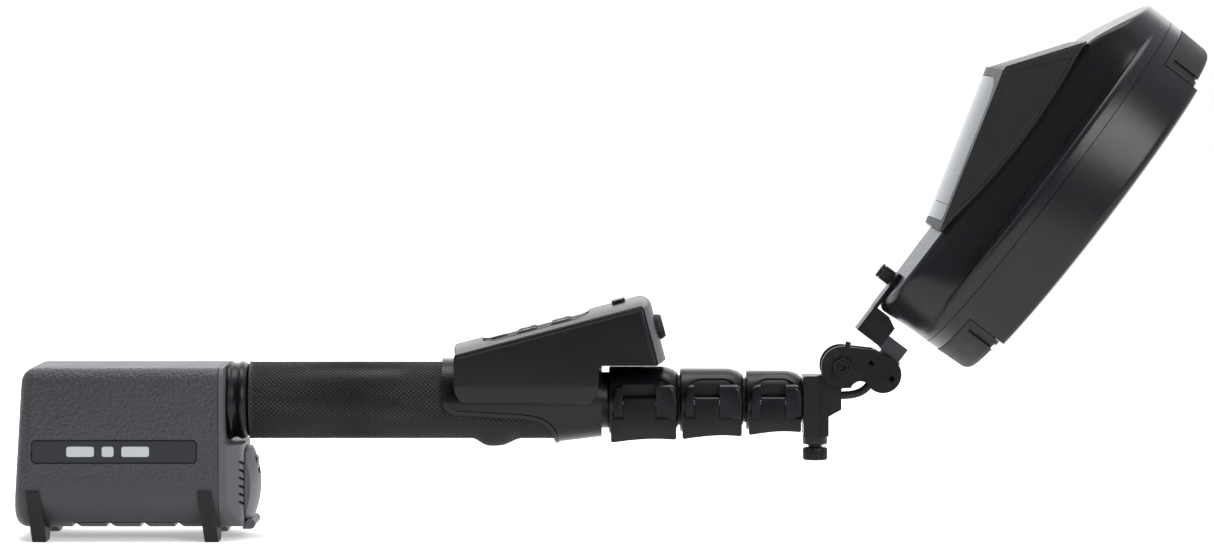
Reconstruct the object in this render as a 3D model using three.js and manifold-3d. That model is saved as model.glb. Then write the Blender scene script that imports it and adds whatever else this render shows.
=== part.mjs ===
// A hand-held detector: rear housing, rubber grip, keypad console, telescopic pole with three flip locks,
// a tilt and swivel knuckle, and an oval antenna head with a display.
// Millimetres, +Z up. X runs along the pole towards the head and Y points away from the lever side.
// Pieces are built along the pole axis (Y = 0, Z = 0), with X = 0 at the rear of the housing. At the end the
// whole assembly is moved, so that the origin is the middle of the footprint at the height of the feet.
import * as THREE from "three";
import { mergeVertices } from "three/addons/utils/BufferGeometryUtils.js";
import Module from "manifold-3d";

const wasm = await Module();
wasm.setup();

// ---------------------------------------------------------------- driving dimensions

const gap = 0.3; // between pieces that meet
const cut = 1; // how far a cutting tool runs past the face that it cuts

const housing = { length: 105, halfWidth: 38, top: 18.4, bottom: -63.7, wall: 2.5 };
housing.topRound = 9;
housing.bottomRound = 19;
housing.rearRound = 5;
housing.rearLean = 5; // how far the top of the rear wall stands forward of its foot
const cap = { length: 11.8, upperLength: 2.2, frontHalfWidth: 27, shoulder: -21, wall: 3 };
const door = { halfWidth: 23, thickness: 3.2, bulge: 4.2, bottom: -60.5, top: -25, hingeRadius: 2.6 };
door.openingMargin = 3.5;
door.pinRadius = 1.1;
const latch = { halfWidth: 7, height: 6, depth: 1.8, travel: 2.5 };
const vent = { count: 4, first: 32, pitch: 17.5, width: 4, depth: 1.2 };
const badge = { start: 10.6, length: 83, top: -18.6, height: 10.8, depth: 0.8 };
const foot = { width: 7.3, top: -44, ground: -70, rearX: 6.7, fromFront: 10.6, padWidth: 16, lean: 0.15 };
foot.archClear = 5;
foot.proud = 1.6; // how far a rib stands out from the casing's side
const battery = { length: 74, height: 33, halfWidth: 30 };
const board = { thickness: 1.6 };

const pole = { handleRadius: 14.4, wall: 1.1, clearance: 0.35, rearX: 98, step: 12 };
pole.bushLength = 8;
const collar = { length: 10.6, radius: 20.3, nose: 18.6, noseLength: 4.6 };
const grip = { length: 158.4, radius: 20, bumpFromFront: 33, bumpLength: 22, bumpHeight: 3.2 };
const saddle = { reach: 59, wall: 1.2, barrelLength: 22.7, barrelRadius: 18.8, rearDrop: -3 };
const consoleBox = { length: 96.6, halfWidth: 27, skirt: 5.5, rearTop: 24.5, frontTop: 50, chin: 19 };
consoleBox.frontSlant = 8.3;
consoleBox.overhang = 31;
consoleBox.crown = 4.1;
consoleBox.wall = 2.2;
const keypad = { length: 56, width: 42, start: 16, thickness: 1.4 };
const keyTravel = 0.8;
const keyHeight = 4.5;
const keyProud = 1;
const keys = [
  { name: "key_power", along: -20, across: 0, length: 9, width: 9 },
  { name: "key_down", along: -5, across: -10, length: 10, width: 14 },
  { name: "key_up", along: -5, across: 10, length: 10, width: 14 },
  { name: "key_mute", along: 13, across: -10, length: 10, width: 14 },
  { name: "key_menu", along: 13, across: 10, length: 10, width: 14 },
];
const plug = { radius: 6.6, proud: 3.2, slot: 1.4, height: 16 };

const locks = [
  { length: 35.5, radius: 17.3, neckWidth: 16.5, follow: 1.1, paddleBottom: -20.6 },
  { length: 32.4, radius: 16.3, neckWidth: 12.5, follow: 1.6, paddleBottom: -18.9 },
  { length: 28.8, radius: 15.2, neckWidth: 12.3, follow: 0.5, paddleBottom: -16.9 },
];
const lockGap = 3.7; // between the console barrel and the first lock
const ear = { start: 2.5, width: 4.5, top: 8.8, bottom: -7.4, depth: 5.5, slotSink: 1.2 };
const lever = { pivotZ: -0.2, pivotOut: 2.8, neckTop: 2.7, top: -8.6, outer: 5.3, inner: 1.2 };
lever.pinRadius = 1.2;
lever.camRadius = 2;

const bracket = { wideLength: 7.9, length: 13.1, top: 12.9, bottom: -18.3, halfWidth: 12.4, lugHalf: 7.8 };
bracket.nose = 19.6;
bracket.noseTop = 6.7;
bracket.noseBottom = -4.6;
bracket.spigot = 25;
bracket.boss = 4.6;
const knob = { x: 6.4, radius: 6.4, height: 6.7, neck: 1.1, neckRadius: 3.6, shankRadius: 2 };
const hinge = { x: 19.8, z: 17.5, lugRadius: 9.5, boltRadius: 3, headRadius: 5, headHeight: 3.6 };
hinge.nutAcross = 9.1;
const plate = { inner: 8.1, thickness: 4.5, radius: 10.8, farRadius: 9.5, tab: 2.6 };
const pinCross = { along: 10.6, spread: 6.6, radius: 1.25 };
const shaft = { axis: -17.3, radius: 6.2, grooveRadius: 4.9, grooveHalf: 1.7, rear: 3.5, front: 19.6 };
shaft.flangeEnd = 27.3;
shaft.flangeHalf = 8;
shaft.flangeDrop = 4.5;
const core = { rear: 1.5, front: 18.8, halfHeight: 9.6, halfWidth: 7.8, reliefRadius: 10.3 };
const lead = { diameter: 4.3, sag: 2 };

const headAngle = 52.8; // degrees between the pole and the long axis of the head
const heelReach = 35.4; // from the tilt axis to the heel of the head, along the head
const headDrop = 27.3; // from the tilt axis down to the seam of the head
const head = { halfLength: 103, halfWidth: 78, wall: 2.4, ledge: 8.5, ledgeRise: 3.2, saddleHalf: 51, top: 31 };
head.rim = -29.5;
head.dome = -33;
head.tipDrop = 15.5;
head.tipSlope = 36; // how far from the tip the saddle's flat top starts to drop
head.heelRound = 4.6;
head.heelX = -head.halfLength - 1.6;
head.edge = 3.4; // roundness of the lower rim
const bumper = { length: 22, top: -7, bottom: -26.8, thickness: 2.3, proud: 0.4 };
bumper.from = head.halfLength - bumper.length;
const headReach = heelReach - head.heelX; // from the tilt axis to the centre of the head
const antenna = { thickness: 2, z: -21 };
const neck = { rear: 20, front: 35.1, bottom: -9.5, top: 3.7, halfWidth: 12, strap: 2, strapEnd: 56 };
neck.chamfer = 6;
const screw = { fromHeel: 16.1, radius: 3.85, height: 8.2, shankRadius: 1.9, shank: 6 };
const display = { rear: -54.4, apex: 29.2, front: 66.6, halfWidth: 50, rearTop: 32.6, apexTop: 56.4 };
display.wall = 2.2;
display.bezel = 4.5;
display.glass = 1.6;
display.apexFlat = 2.5;
display.crown = 4.4;
const lcd = { length: 53, halfWidth: 36, thickness: 3, towardsApex: 8 };

const round = 32; // segments on a large circle
const small = 16; // segments on a small one
const corner = 4; // segments on a round corner

// ---------------------------------------------------------------- finishes

const finish = {
  texturedPlastic: { color: 0x1b1c1e, roughness: 0.62, metalness: 0 },
  smoothPlastic: { color: 0x232427, roughness: 0.4, metalness: 0 },
  headPlastic: { color: 0x3a3b3f, roughness: 0.42, metalness: 0 },
  rubber: { color: 0x111112, roughness: 0.8, metalness: 0 },
  glass: { color: 0x050607, roughness: 0.06, metalness: 0 },
  blackMetal: { color: 0x2a2b2e, roughness: 0.35, metalness: 0.9 },
  bareMetal: { color: 0x8d9094, roughness: 0.3, metalness: 1 },
  boardGreen: { color: 0x0f3a22, roughness: 0.5, metalness: 0 },
  batteryWrap: { color: 0x1d2b46, roughness: 0.5, metalness: 0 },
  copper: { color: 0xb06a3b, roughness: 0.4, metalness: 1 },
  bush: { color: 0xd8d8d2, roughness: 0.5, metalness: 0 },
};

// ---------------------------------------------------------------- shape helpers

// A closed three.js geometry as a manifold-3d solid, without the slivers that a lathe leaves on its axis.
function solid(geometry) {
  const bare = geometry.clone();
  bare.deleteAttribute("normal");
  bare.deleteAttribute("uv");
  const merged = mergeVertices(bare, 1e-3);
  const index = merged.index.array;
  const triangles = [];
  for (let i = 0; i < index.length; i += 3) {
    const [a, b, c] = [index[i], index[i + 1], index[i + 2]];
    if (a !== b && b !== c && a !== c) triangles.push(a, b, c);
  }
  return new wasm.Manifold(
    new wasm.Mesh({
      numProp: 3,
      vertProperties: merged.attributes.position.array,
      triVerts: new Uint32Array(triangles),
    }),
  );
}

const axisX = new THREE.Vector3(1, 0, 0);
const axisY = new THREE.Vector3(0, 1, 0);
const axisZ = new THREE.Vector3(0, 0, 1);
const basis = (x, y, z) => new THREE.Matrix4().makeBasis(x, y, z);
const minusY = axisY.clone().negate();

function box(x0, x1, y0, y1, z0, z1) {
  const made = new THREE.BoxGeometry(x1 - x0, y1 - y0, z1 - z0);
  return solid(made.translate((x0 + x1) / 2, (y0 + y1) / 2, (z0 + z1) / 2));
}

const asShape = (outline) =>
  outline instanceof THREE.Shape
    ? outline
    : new THREE.Shape(outline.map(([a, b]) => new THREE.Vector2(a, b)));

// A block that ends in a shallow curve: its sides stop at 0 and its middle at the crown.
function crowned(halfWidth, depth, crown) {
  const shape = new THREE.Shape();
  shape.moveTo(-halfWidth, -depth);
  shape.lineTo(halfWidth, -depth);
  shape.lineTo(halfWidth, 0);
  shape.quadraticCurveTo(0, 2 * crown, -halfWidth, 0);
  return shape;
}

function slab(outline, depth) {
  return new THREE.ExtrudeGeometry(asShape(outline), { depth, bevelEnabled: false, curveSegments: corner });
}

// An outline in X and Z, thick from y0 to y1.
function slabXZ(outline, y0, y1) {
  const made = slab(outline, y1 - y0).applyMatrix4(basis(axisX, axisZ, minusY));
  return solid(made.translate(0, y1, 0));
}

// An outline in Y and Z, thick from x0 to x1.
function slabYZ(outline, x0, x1) {
  const made = slab(outline, x1 - x0).applyMatrix4(basis(axisY, axisZ, axisX));
  return solid(made.translate(x0, 0, 0));
}

// An outline in X and Y, thick from z0 to z1.
function slabXY(outline, z0, z1) {
  return solid(slab(outline, z1 - z0).translate(0, 0, z0));
}

// A rectangle with round corners, the lower pair and the upper pair each with its own radius.
function roundedRectangle(left, right, low, high, lowRound, highRound = lowRound) {
  const shape = new THREE.Shape();
  shape.absarc(right - lowRound, low + lowRound, lowRound, -Math.PI / 2, 0);
  shape.absarc(right - highRound, high - highRound, highRound, 0, Math.PI / 2);
  shape.absarc(left + highRound, high - highRound, highRound, Math.PI / 2, Math.PI);
  shape.absarc(left + lowRound, low + lowRound, lowRound, Math.PI, 1.5 * Math.PI);
  return shape;
}

// A closed profile of [distance along the axis, radius] pairs, spun round the axis.
function spun(profile, segments, turn) {
  const area = profile.reduce((sum, [a, r], i) => {
    const [nextA, nextR] = profile[(i + 1) % profile.length];
    return sum + r * nextA - nextR * a;
  }, 0);
  const ordered = area > 0 ? profile : [...profile].reverse();
  const points = [...ordered, ordered[0]].map(([a, r]) => new THREE.Vector2(r, a));
  return solid(new THREE.LatheGeometry(points, segments).applyMatrix4(turn));
}

const spunX = (profile, segments = round) => spun(profile, segments, basis(axisZ, axisX, axisY));
const spunZ = (profile, segments = round) => spun(profile, segments, basis(axisX, axisZ, minusY));

const rodProfile = (from, to, radius) => [[from, 0], [from, radius], [to, radius], [to, 0]];
const ringProfile = (from, to, inner, outer) => [[from, inner], [from, outer], [to, outer], [to, inner]];

const rodX = (x0, x1, radius, y = 0, z = 0, segments = small) =>
  spunX(rodProfile(x0, x1, radius), segments).translate([0, y, z]);
const rodZ = (z0, z1, radius, x = 0, y = 0, segments = small) =>
  spunZ(rodProfile(z0, z1, radius), segments).translate([x, y, 0]);
const rodY = (y0, y1, radius, x = 0, z = 0, segments = small) =>
  rodZ(y0, y1, radius, 0, 0, segments).rotate([-90, 0, 0]).translate([x, 0, z]);
const ringX = (x0, x1, inner, outer, segments = round) => spunX(ringProfile(x0, x1, inner, outer), segments);

function place(group, name, shape, look) {
  const made = shape.getMesh();
  const geometry = new THREE.BufferGeometry();
  geometry.setAttribute("position", new THREE.BufferAttribute(made.vertProperties, 3));
  geometry.setIndex(new THREE.BufferAttribute(made.triVerts, 1));
  geometry.computeVertexNormals();
  const mesh = new THREE.Mesh(geometry, new THREE.MeshStandardMaterial(look));
  mesh.name = name;
  group.add(mesh);
}

function groupAt(parent, x, y, z, turnY = 0) {
  const made = new THREE.Group();
  made.position.set(x, y, z);
  made.rotation.y = THREE.MathUtils.degToRad(-turnY);
  parent.add(made);
  return made;
}

// ---------------------------------------------------------------- places along the pole

const capStart = housing.length + gap;
const capEnd = capStart + cap.length;
const collarStart = capStart + cap.upperLength + gap;
const gripStart = collarStart + collar.length + gap;
const gripEnd = gripStart + grip.length;
const barrelEnd = gripEnd + gap + saddle.barrelLength;
locks.forEach((lock, i) => {
  const before = locks[i - 1];
  lock.start = before ? before.start + before.length + before.follow : barrelEnd + lockGap;
  lock.end = lock.start + lock.length;
});
const bracketStart = locks[2].end + locks[2].follow;

// Outer radius of the pole's tubes, from the handle tube inwards.
const tubes = [0, 1, 2, 3].map((i) => {
  const radius = pole.handleRadius - i * (pole.wall + pole.clearance);
  return { radius, bore: radius - pole.wall, rear: pole.rearX + i * pole.step };
});
locks.forEach((lock, i) => {
  tubes[i].end = lock.start + 0.6 * lock.length - gap;
});
tubes[3].end = bracketStart + bracket.wideLength - 1.2;

const assembly = new THREE.Group();

// ---------------------------------------------------------------- rear housing

// The casing's cross-section in Y and Z, drawn in by a wall or a gap.
function housingSection(inset) {
  const side = housing.halfWidth - inset;
  return roundedRectangle(
    -side, side, housing.bottom + inset, housing.top - inset,
    housing.bottomRound - inset, housing.topRound - inset,
  );
}

// The casing's side view: the rear wall leans, with a round upper and lower corner.
function housingSide(inset, frontX) {
  const low = housing.bottom + inset;
  const high = housing.top - inset;
  const shape = new THREE.Shape();
  shape.moveTo(frontX, low);
  shape.lineTo(frontX, high);
  const topRear = housing.rearLean + inset;
  shape.lineTo(housing.rearLean + housing.rearRound, high);
  shape.quadraticCurveTo(topRear, high, topRear, high - 2 * housing.rearRound);
  shape.lineTo(inset, low + 17);
  shape.quadraticCurveTo(inset, low, 9, low);
  return shape;
}

function casing(inset, frontX) {
  const wide = housing.halfWidth + cut;
  return slabYZ(housingSection(inset), 0, frontX).intersect(slabXZ(housingSide(inset, frontX), -wide, wide));
}

function housingShell() {
  const front = housing.length;
  let shell = casing(0, front).subtract(casing(housing.wall, front + cut));
  for (let i = 0; i < vent.count; i++) {
    const x = vent.first + i * vent.pitch;
    const side = housing.halfWidth - housing.bottomRound;
    const low = housing.bottom;
    const half = vent.width / 2;
    shell = shell.subtract(box(x - half, x + half, -side, side, low - cut, low + vent.depth));
  }
  const outer = -housing.halfWidth;
  const plate = roundedRectangle(
    badge.start - gap, badge.start + badge.length + gap, badge.top - badge.height - gap, badge.top + gap, 2,
  );
  return shell.subtract(slabXZ(plate, outer - cut, outer + badge.depth + gap));
}

function badgePlate() {
  const outer = -housing.halfWidth;
  const { start, length, top, height } = badge;
  const outline = roundedRectangle(start, start + length, top - height, top, 1.7);
  return slabXZ(outline, outer, outer + badge.depth);
}

const doorHingeX = () => capEnd + door.hingeRadius + gap;
const doorHingeZ = () => door.bottom - door.hingeRadius + 0.6;

// Full height behind the collar and full depth below it, with its sides drawn in towards the front.
function frontCap() {
  const { length, upperLength, frontHalfWidth, shoulder } = cap;
  const side = housing.halfWidth;
  const tall = housing.top - housing.bottom;
  const plan = [
    [capStart, -side], [capStart + length, -frontHalfWidth], [capStart + length, frontHalfWidth],
    [capStart, side],
  ];
  let made = slabXY(plan, housing.bottom - cut, housing.bottom + tall + cut);
  made = made.intersect(slabYZ(housingSection(0), capStart, capEnd));
  made = made.subtract(box(capStart + upperLength, capEnd + cut, -side, side, shoulder, housing.top + cut));
  const inside = slabYZ(housingSection(cap.wall + 6), capStart - cut, capEnd - cap.wall);
  made = made.subtract(inside.intersect(box(0, capEnd, -side, side, housing.bottom, shoulder - cap.wall)));
  made = made.subtract(rodX(capStart - cut, capEnd + cut, tubes[0].radius + gap, 0, 0, round));
  const margin = door.openingMargin;
  made = made.subtract(
    box(capStart - cut, capEnd + cut, margin - door.halfWidth, door.halfWidth - margin, door.bottom + margin,
      door.top - margin),
  );
  const lugInner = door.halfWidth * 0.55;
  for (const way of [-1, 1]) {
    const [y0, y1] = [way * lugInner, way * (lugInner + 6)].sort((a, b) => a - b);
    const lug = rodY(y0, y1, door.hingeRadius, doorHingeX(), doorHingeZ());
    const web = box(capEnd - cut, doorHingeX(), y0, y1, doorHingeZ() - door.hingeRadius, doorHingeZ() - 0.3);
    made = made.add(lug).add(web);
  }
  return made.subtract(rodY(-side, side, door.pinRadius + gap, doorHingeX(), doorHingeZ()));
}

// The door's side view: flat against the cap, bulging forwards.
function doorBody() {
  const back = capEnd + gap;
  const front = back + door.thickness;
  const middle = (door.top + door.bottom) / 2;
  const side = new THREE.Shape();
  side.moveTo(back, door.bottom);
  side.lineTo(back, door.top);
  side.lineTo(front - 1, door.top);
  side.quadraticCurveTo(front + 2 * door.bulge - 1, middle, front - 1, door.bottom);
  const wide = door.halfWidth;
  const section = roundedRectangle(-wide, wide, door.bottom, door.top, 5);
  let made = slabXZ(side, -wide, wide).intersect(slabYZ(section, back - cut, front + 3 * door.bulge));
  const barrelHalf = door.halfWidth * 0.55 - gap;
  const clearance = door.hingeRadius + gap;
  made = made.subtract(rodY(-wide, wide, clearance, doorHingeX(), doorHingeZ()));
  made = made.add(rodY(-barrelHalf, barrelHalf, door.hingeRadius, doorHingeX(), doorHingeZ()));
  const [webRear, webFront] = [doorHingeX() - 1, doorHingeX() + 1.6];
  made = made.add(box(webRear, webFront, -barrelHalf, barrelHalf, doorHingeZ(), door.bottom + 5));
  const { halfWidth, height, depth, travel } = latch;
  const pocket = box(front + 0.4, front + 3 * door.bulge, -halfWidth - gap, halfWidth + gap,
    door.top - 4 - height - travel - gap, door.top - 4 + gap);
  made = made.subtract(pocket);
  return made.subtract(rodY(-wide, wide, door.pinRadius + gap, doorHingeX(), doorHingeZ()));
}

function doorLatch() {
  const front = capEnd + gap + door.thickness + 0.4 + gap;
  const top = door.top - 4;
  return box(front, front + latch.depth, -latch.halfWidth, latch.halfWidth, top - latch.height, top);
}

// A rib that wraps the rounded underside, with a pad under each side and an arch between them.
function footRib(x) {
  const { halfWidth, bottom, bottomRound } = housing;
  const side = halfWidth + foot.proud;
  const inner = bottomRound + gap;
  const centre = halfWidth - bottomRound;
  const shape = new THREE.Shape();
  shape.moveTo(-side, foot.ground);
  shape.lineTo(-side + foot.padWidth, foot.ground);
  shape.quadraticCurveTo(0, foot.ground + 2 * foot.archClear, side - foot.padWidth, foot.ground);
  shape.lineTo(side, foot.ground);
  shape.lineTo(side, foot.top);
  const tilt = Math.asin((foot.top - (bottom + bottomRound)) / inner);
  shape.absarc(centre, bottom + bottomRound, inner, tilt, -Math.PI / 2, true);
  shape.absarc(-centre, bottom + bottomRound, inner, -Math.PI / 2, -Math.PI - tilt, true);
  shape.lineTo(-side, foot.top);
  const lean = new THREE.Matrix4();
  lean.set(1, 0, -foot.lean, foot.lean * foot.top, 0, 1, 0, 0, 0, 0, 1, 0, 0, 0, 0, 1);
  const made = slab(shape, foot.width).applyMatrix4(basis(axisY, axisZ, axisX)).applyMatrix4(lean);
  return solid(made.translate(x, 0, 0));
}

function batteryPack() {
  const front = housing.length - 2;
  const low = housing.bottom + housing.wall + gap;
  const section = roundedRectangle(-battery.halfWidth, battery.halfWidth, low, low + battery.height, 13, 3);
  return slabYZ(section, front - battery.length, front);
}

function mainBoard() {
  const low = housing.bottom + housing.wall + gap + battery.height + 4;
  const side = housing.halfWidth - housing.wall - gap;
  const rear = housing.rearLean + housing.wall + 2;
  let made = box(rear, housing.length - 2, -side, side, low, low + board.thickness);
  made = made.add(box(rear + 12, rear + 52, -22, 22, low + board.thickness - 0.2, low + 8));
  return made.add(box(rear + 60, rear + 78, -10, 14, low + board.thickness - 0.2, low + 5));
}

function buildHousing() {
  place(assembly, "housing_shell", housingShell(), finish.texturedPlastic);
  place(assembly, "front_cap", frontCap(), finish.smoothPlastic);
  place(assembly, "battery_door", doorBody(), finish.smoothPlastic);
  const reach = door.halfWidth * 0.55 + 5.5;
  const pin = rodY(-reach, reach, door.pinRadius, doorHingeX(), doorHingeZ());
  place(assembly, "door_pin", pin, finish.bareMetal);
  place(assembly, "door_latch", doorLatch(), finish.smoothPlastic);
  place(assembly, "badge_plate", badgePlate(), finish.blackMetal);
  place(assembly, "rear_foot", footRib(foot.rearX), finish.rubber);
  place(assembly, "front_foot", footRib(housing.length - foot.fromFront), finish.rubber);
  place(assembly, "battery_pack", batteryPack(), finish.batteryWrap);
  place(assembly, "main_board", mainBoard(), finish.boardGreen);
}

// ---------------------------------------------------------------- grip and console

function neckCollar() {
  const [from, to] = [collarStart, collarStart + collar.length];
  const bore = tubes[0].radius + gap;
  return spunX([
    [from, bore], [from, collar.radius], [to - collar.noseLength, collar.radius], [to, collar.nose], [to, bore],
  ]);
}

// Round rubber, with a finger bump under its front half.
function gripSleeve() {
  const bore = tubes[0].radius + gap;
  const sleeve = spunX([
    [gripStart, bore], [gripStart, grip.radius - 1], [gripStart + 1, grip.radius], [gripEnd - 1, grip.radius],
    [gripEnd, grip.radius - 1], [gripEnd, bore],
  ]);
  const middle = gripEnd - grip.bumpFromFront;
  const half = grip.bumpLength / 2;
  const low = -grip.radius - grip.bumpHeight;
  const bump = new THREE.Shape();
  bump.moveTo(middle - half, -grip.radius + 3);
  bump.quadraticCurveTo(middle - half, low, middle, low);
  bump.quadraticCurveTo(middle + half * 0.7, low, middle + half * 1.3, -grip.radius + 3);
  return sleeve.add(slabXZ(bump, -9, 9));
}

// A half shell over the grip that ends in a barrel on the handle tube.
function consoleBase() {
  const inner = grip.radius + gap;
  const outer = inner + saddle.wall;
  const rear = gripEnd - saddle.reach;
  const front = gripEnd + gap;
  const bore = tubes[0].radius + gap;
  const shell = spunX([
    [rear, inner], [rear, outer], [front, outer], [barrelEnd, saddle.barrelRadius], [barrelEnd, bore],
    [front, bore], [front, inner],
  ]);
  const low = -outer - cut;
  const below = new THREE.Shape();
  below.moveTo(rear - cut, low);
  below.lineTo(rear - cut, saddle.rearDrop + 6);
  below.quadraticCurveTo(rear, saddle.rearDrop - 3, rear + 8, saddle.rearDrop - 3);
  below.lineTo(gripEnd - 16, saddle.rearDrop - 6);
  below.quadraticCurveTo(gripEnd - 4, saddle.rearDrop - 8, gripEnd, low);
  return shell.subtract(slabXZ(below, -outer - cut, outer + cut));
}

const consoleRear = gripEnd - saddle.reach + 6.5;
const consoleSlope = () =>
  THREE.MathUtils.radToDeg(Math.atan2(consoleBox.frontTop - consoleBox.rearTop, consoleBox.length));

// The console's side view, drawn in by a wall. Its front and top are drawn out by a bulge.
function consoleSide(inset, bulge = 0) {
  const { length, rearTop, frontTop, skirt, chin, frontSlant, overhang } = consoleBox;
  const front = consoleRear + length;
  const low = inset ? skirt - cut : skirt;
  return [
    [consoleRear + inset, low],
    [front + frontSlant - overhang - inset, low],
    [front + frontSlant - overhang - inset, chin + inset],
    [front + frontSlant - inset + bulge, chin + inset],
    [front - inset + bulge, frontTop - inset + bulge],
    [consoleRear + inset, rearTop - inset + bulge],
  ];
}

// Turns a solid made flat at the origin onto the console's sloping top, `along` from its rear edge.
function ontoConsole(made, along, up = 0) {
  return made
    .translate([along, 0, up])
    .rotate([0, -consoleSlope(), 0])
    .translate([consoleRear, 0, consoleBox.rearTop]);
}

const keypadMiddle = () => keypad.start + keypad.length / 2;

function panelOutline(margin) {
  const [x, y] = [keypad.length / 2 + margin, keypad.width / 2 + margin];
  return roundedRectangle(-x, x, -y, y, 8 + margin);
}

function keyBlock(key, margin, z0, z1) {
  const [x, y] = [key.length / 2 + margin, key.width / 2 + margin];
  const outline = roundedRectangle(key.along - x, key.along + x, key.across - y, key.across + y, 3 + margin);
  return ontoConsole(slabXY(outline, z0, z1), keypadMiddle());
}

function consoleShell() {
  const { halfWidth, wall, crown } = consoleBox;
  let made = slabXZ(consoleSide(0, 2 * crown), -halfWidth, halfWidth);
  const length = consoleBox.length;
  made = made.intersect(ontoConsole(slabYZ(crowned(halfWidth, length, crown), -length, 2 * length), 0));
  const front = slabXY(crowned(halfWidth, 2 * length, crown), -length, length).rotate([0, 0, -90]);
  const chinX = consoleRear + length + consoleBox.frontSlant;
  made = made.intersect(front.rotate([0, -frontTilt(), 0]).translate([chinX, 0, consoleBox.chin]));
  made = made.subtract(slabXZ(consoleSide(wall), wall - halfWidth, halfWidth - wall));
  const clear = grip.radius + saddle.wall + 2 * gap;
  made = made.subtract(rodX(consoleRear - cut, consoleRear + consoleBox.length, clear, 0, 0, round));
  const recess = slabXY(panelOutline(gap), crown * 0.35 - keypad.thickness, crown + cut);
  made = made.subtract(ontoConsole(recess, keypadMiddle()));
  for (const key of keys) made = made.subtract(keyBlock(key, gap, -8, crown + cut));
  return made.subtract(plugAt(gap, -8, crown + plug.proud + cut));
}

function keypadPanel() {
  const top = consoleBox.crown * 0.35 + gap;
  let made = ontoConsole(slabXY(panelOutline(0), top - keypad.thickness, top), keypadMiddle());
  for (const key of keys) made = made.subtract(keyBlock(key, gap, -8, 8));
  return made;
}

function placeKeys() {
  const top = consoleBox.crown * 0.35 + gap + keyProud;
  for (const key of keys) {
    place(assembly, key.name, keyBlock(key, 0, top - keyHeight, top), finish.rubber);
  }
}

function consoleBoard() {
  const top = consoleBox.crown * 0.35 + gap + keyProud - keyHeight - keyTravel - 0.2;
  const side = consoleBox.halfWidth - consoleBox.wall - gap;
  const half = keypad.length / 2 + 3;
  return ontoConsole(box(-half, half, -side, side, top - board.thickness, top), keypadMiddle());
}

const frontTilt = () => {
  const { frontTop, chin, frontSlant } = consoleBox;
  return THREE.MathUtils.radToDeg(Math.atan2(frontSlant, frontTop - chin));
};

// The round plug's place on the slanting front face, from its inner end to its outer one.
function plugAt(margin, from, to) {
  const { frontTop, chin, frontSlant, length } = consoleBox;
  const slant = frontTilt();
  const down = (frontTop - chin - plug.height) / (frontTop - chin);
  const x = consoleRear + length + frontSlant * down;
  return rodX(from, to, plug.radius + margin).rotate([0, -slant, 0]).translate([x, 0, chin + plug.height + 2]);
}

function portPlug() {
  const outer = consoleBox.crown + plug.proud;
  const dimple = plugAt(plug.slot - plug.radius, outer - 1, outer + cut);
  return plugAt(0, -5, outer).subtract(dimple);
}

function buildHandle() {
  const [tube] = tubes;
  place(assembly, "handle_tube", ringX(tube.rear, tube.end, tube.bore, tube.radius), finish.blackMetal);
  place(assembly, "neck_collar", neckCollar(), finish.smoothPlastic);
  place(assembly, "grip_sleeve", gripSleeve(), finish.rubber);
  place(assembly, "console_base", consoleBase(), finish.smoothPlastic);
  place(assembly, "console_shell", consoleShell(), finish.smoothPlastic);
  place(assembly, "keypad_panel", keypadPanel(), finish.glass);
  placeKeys();
  place(assembly, "console_board", consoleBoard(), finish.boardGreen);
  place(assembly, "port_plug", portPlug(), finish.rubber);
}

// ---------------------------------------------------------------- pole

function placeTube(number) {
  const tube = tubes[number - 1];
  const around = tubes[number - 2];
  place(assembly, `pole_tube_${number}`, ringX(tube.rear, tube.end, tube.bore, tube.radius), finish.blackMetal);
  const bushEnd = tube.rear - gap;
  const bush = ringX(bushEnd - pole.bushLength, bushEnd, tube.bore, around.bore - 0.2);
  place(assembly, `slide_bush_${number}`, bush, finish.bush);
}

// A collar on the end of one tube that grips the next, with two ears for its lever.
function lockCollar(lock, outerTube, innerTube) {
  const { start, end, length, radius, neckWidth } = lock;
  const [wide, narrow] = [outerTube.radius + gap, innerTube.radius + gap];
  const step = start + 0.6 * length;
  let made = spunX([
    [start, wide], [start, radius - 0.8], [start + 0.8, radius], [end - 7, radius], [end, radius - 3.4],
    [end, narrow], [step, narrow], [step, wide],
  ]);
  const [earFrom, earTo] = [start + ear.start, end - 1];
  const outline = roundedRectangle(earFrom, earTo, ear.bottom, ear.top, 1.5, 5);
  const ears = slabXZ(outline, -radius - ear.depth, -radius + 4);
  made = made.add(ears.subtract(rodX(start, end, radius - 1, 0, 0, round)));
  const slotFrom = start + ear.start + ear.width;
  const slot = box(slotFrom, slotFrom + neckWidth + 2 * gap, -radius - ear.depth - cut, ear.slotSink - radius,
    ear.bottom - cut, ear.top - 1.5);
  made = made.subtract(slot);
  return made.subtract(rodX(start, end + cut, lever.pinRadius + gap, -radius - lever.pivotOut, lever.pivotZ));
}

// A T-shaped lever: a neck between the ears and a wide paddle below them.
function lockLever(lock) {
  const { start, end, radius, neckWidth } = lock;
  const neckFrom = start + ear.start + ear.width + gap;
  const [outer, inner] = [-radius - lever.outer, -radius - lever.inner];
  const neckPlate = box(neckFrom, neckFrom + neckWidth, outer, inner, lever.top - 1, lever.neckTop);
  const cam = rodX(neckFrom, neckFrom + neckWidth, lever.camRadius, -radius - lever.pivotOut, lever.pivotZ);
  const middle = (start + end) / 2;
  const paddle = new THREE.Shape();
  paddle.moveTo(start + 1, lever.top);
  paddle.lineTo(end - 1, lever.top);
  paddle.lineTo(end - 1, lock.paddleBottom + 1.4);
  paddle.quadraticCurveTo(middle, lock.paddleBottom + 2.6, start + 1, lock.paddleBottom);
  const made = neckPlate.add(cam).add(slabXZ(paddle, outer, inner));
  return made.subtract(rodX(start, end, lever.pinRadius + gap, -radius - lever.pivotOut, lever.pivotZ));
}

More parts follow.
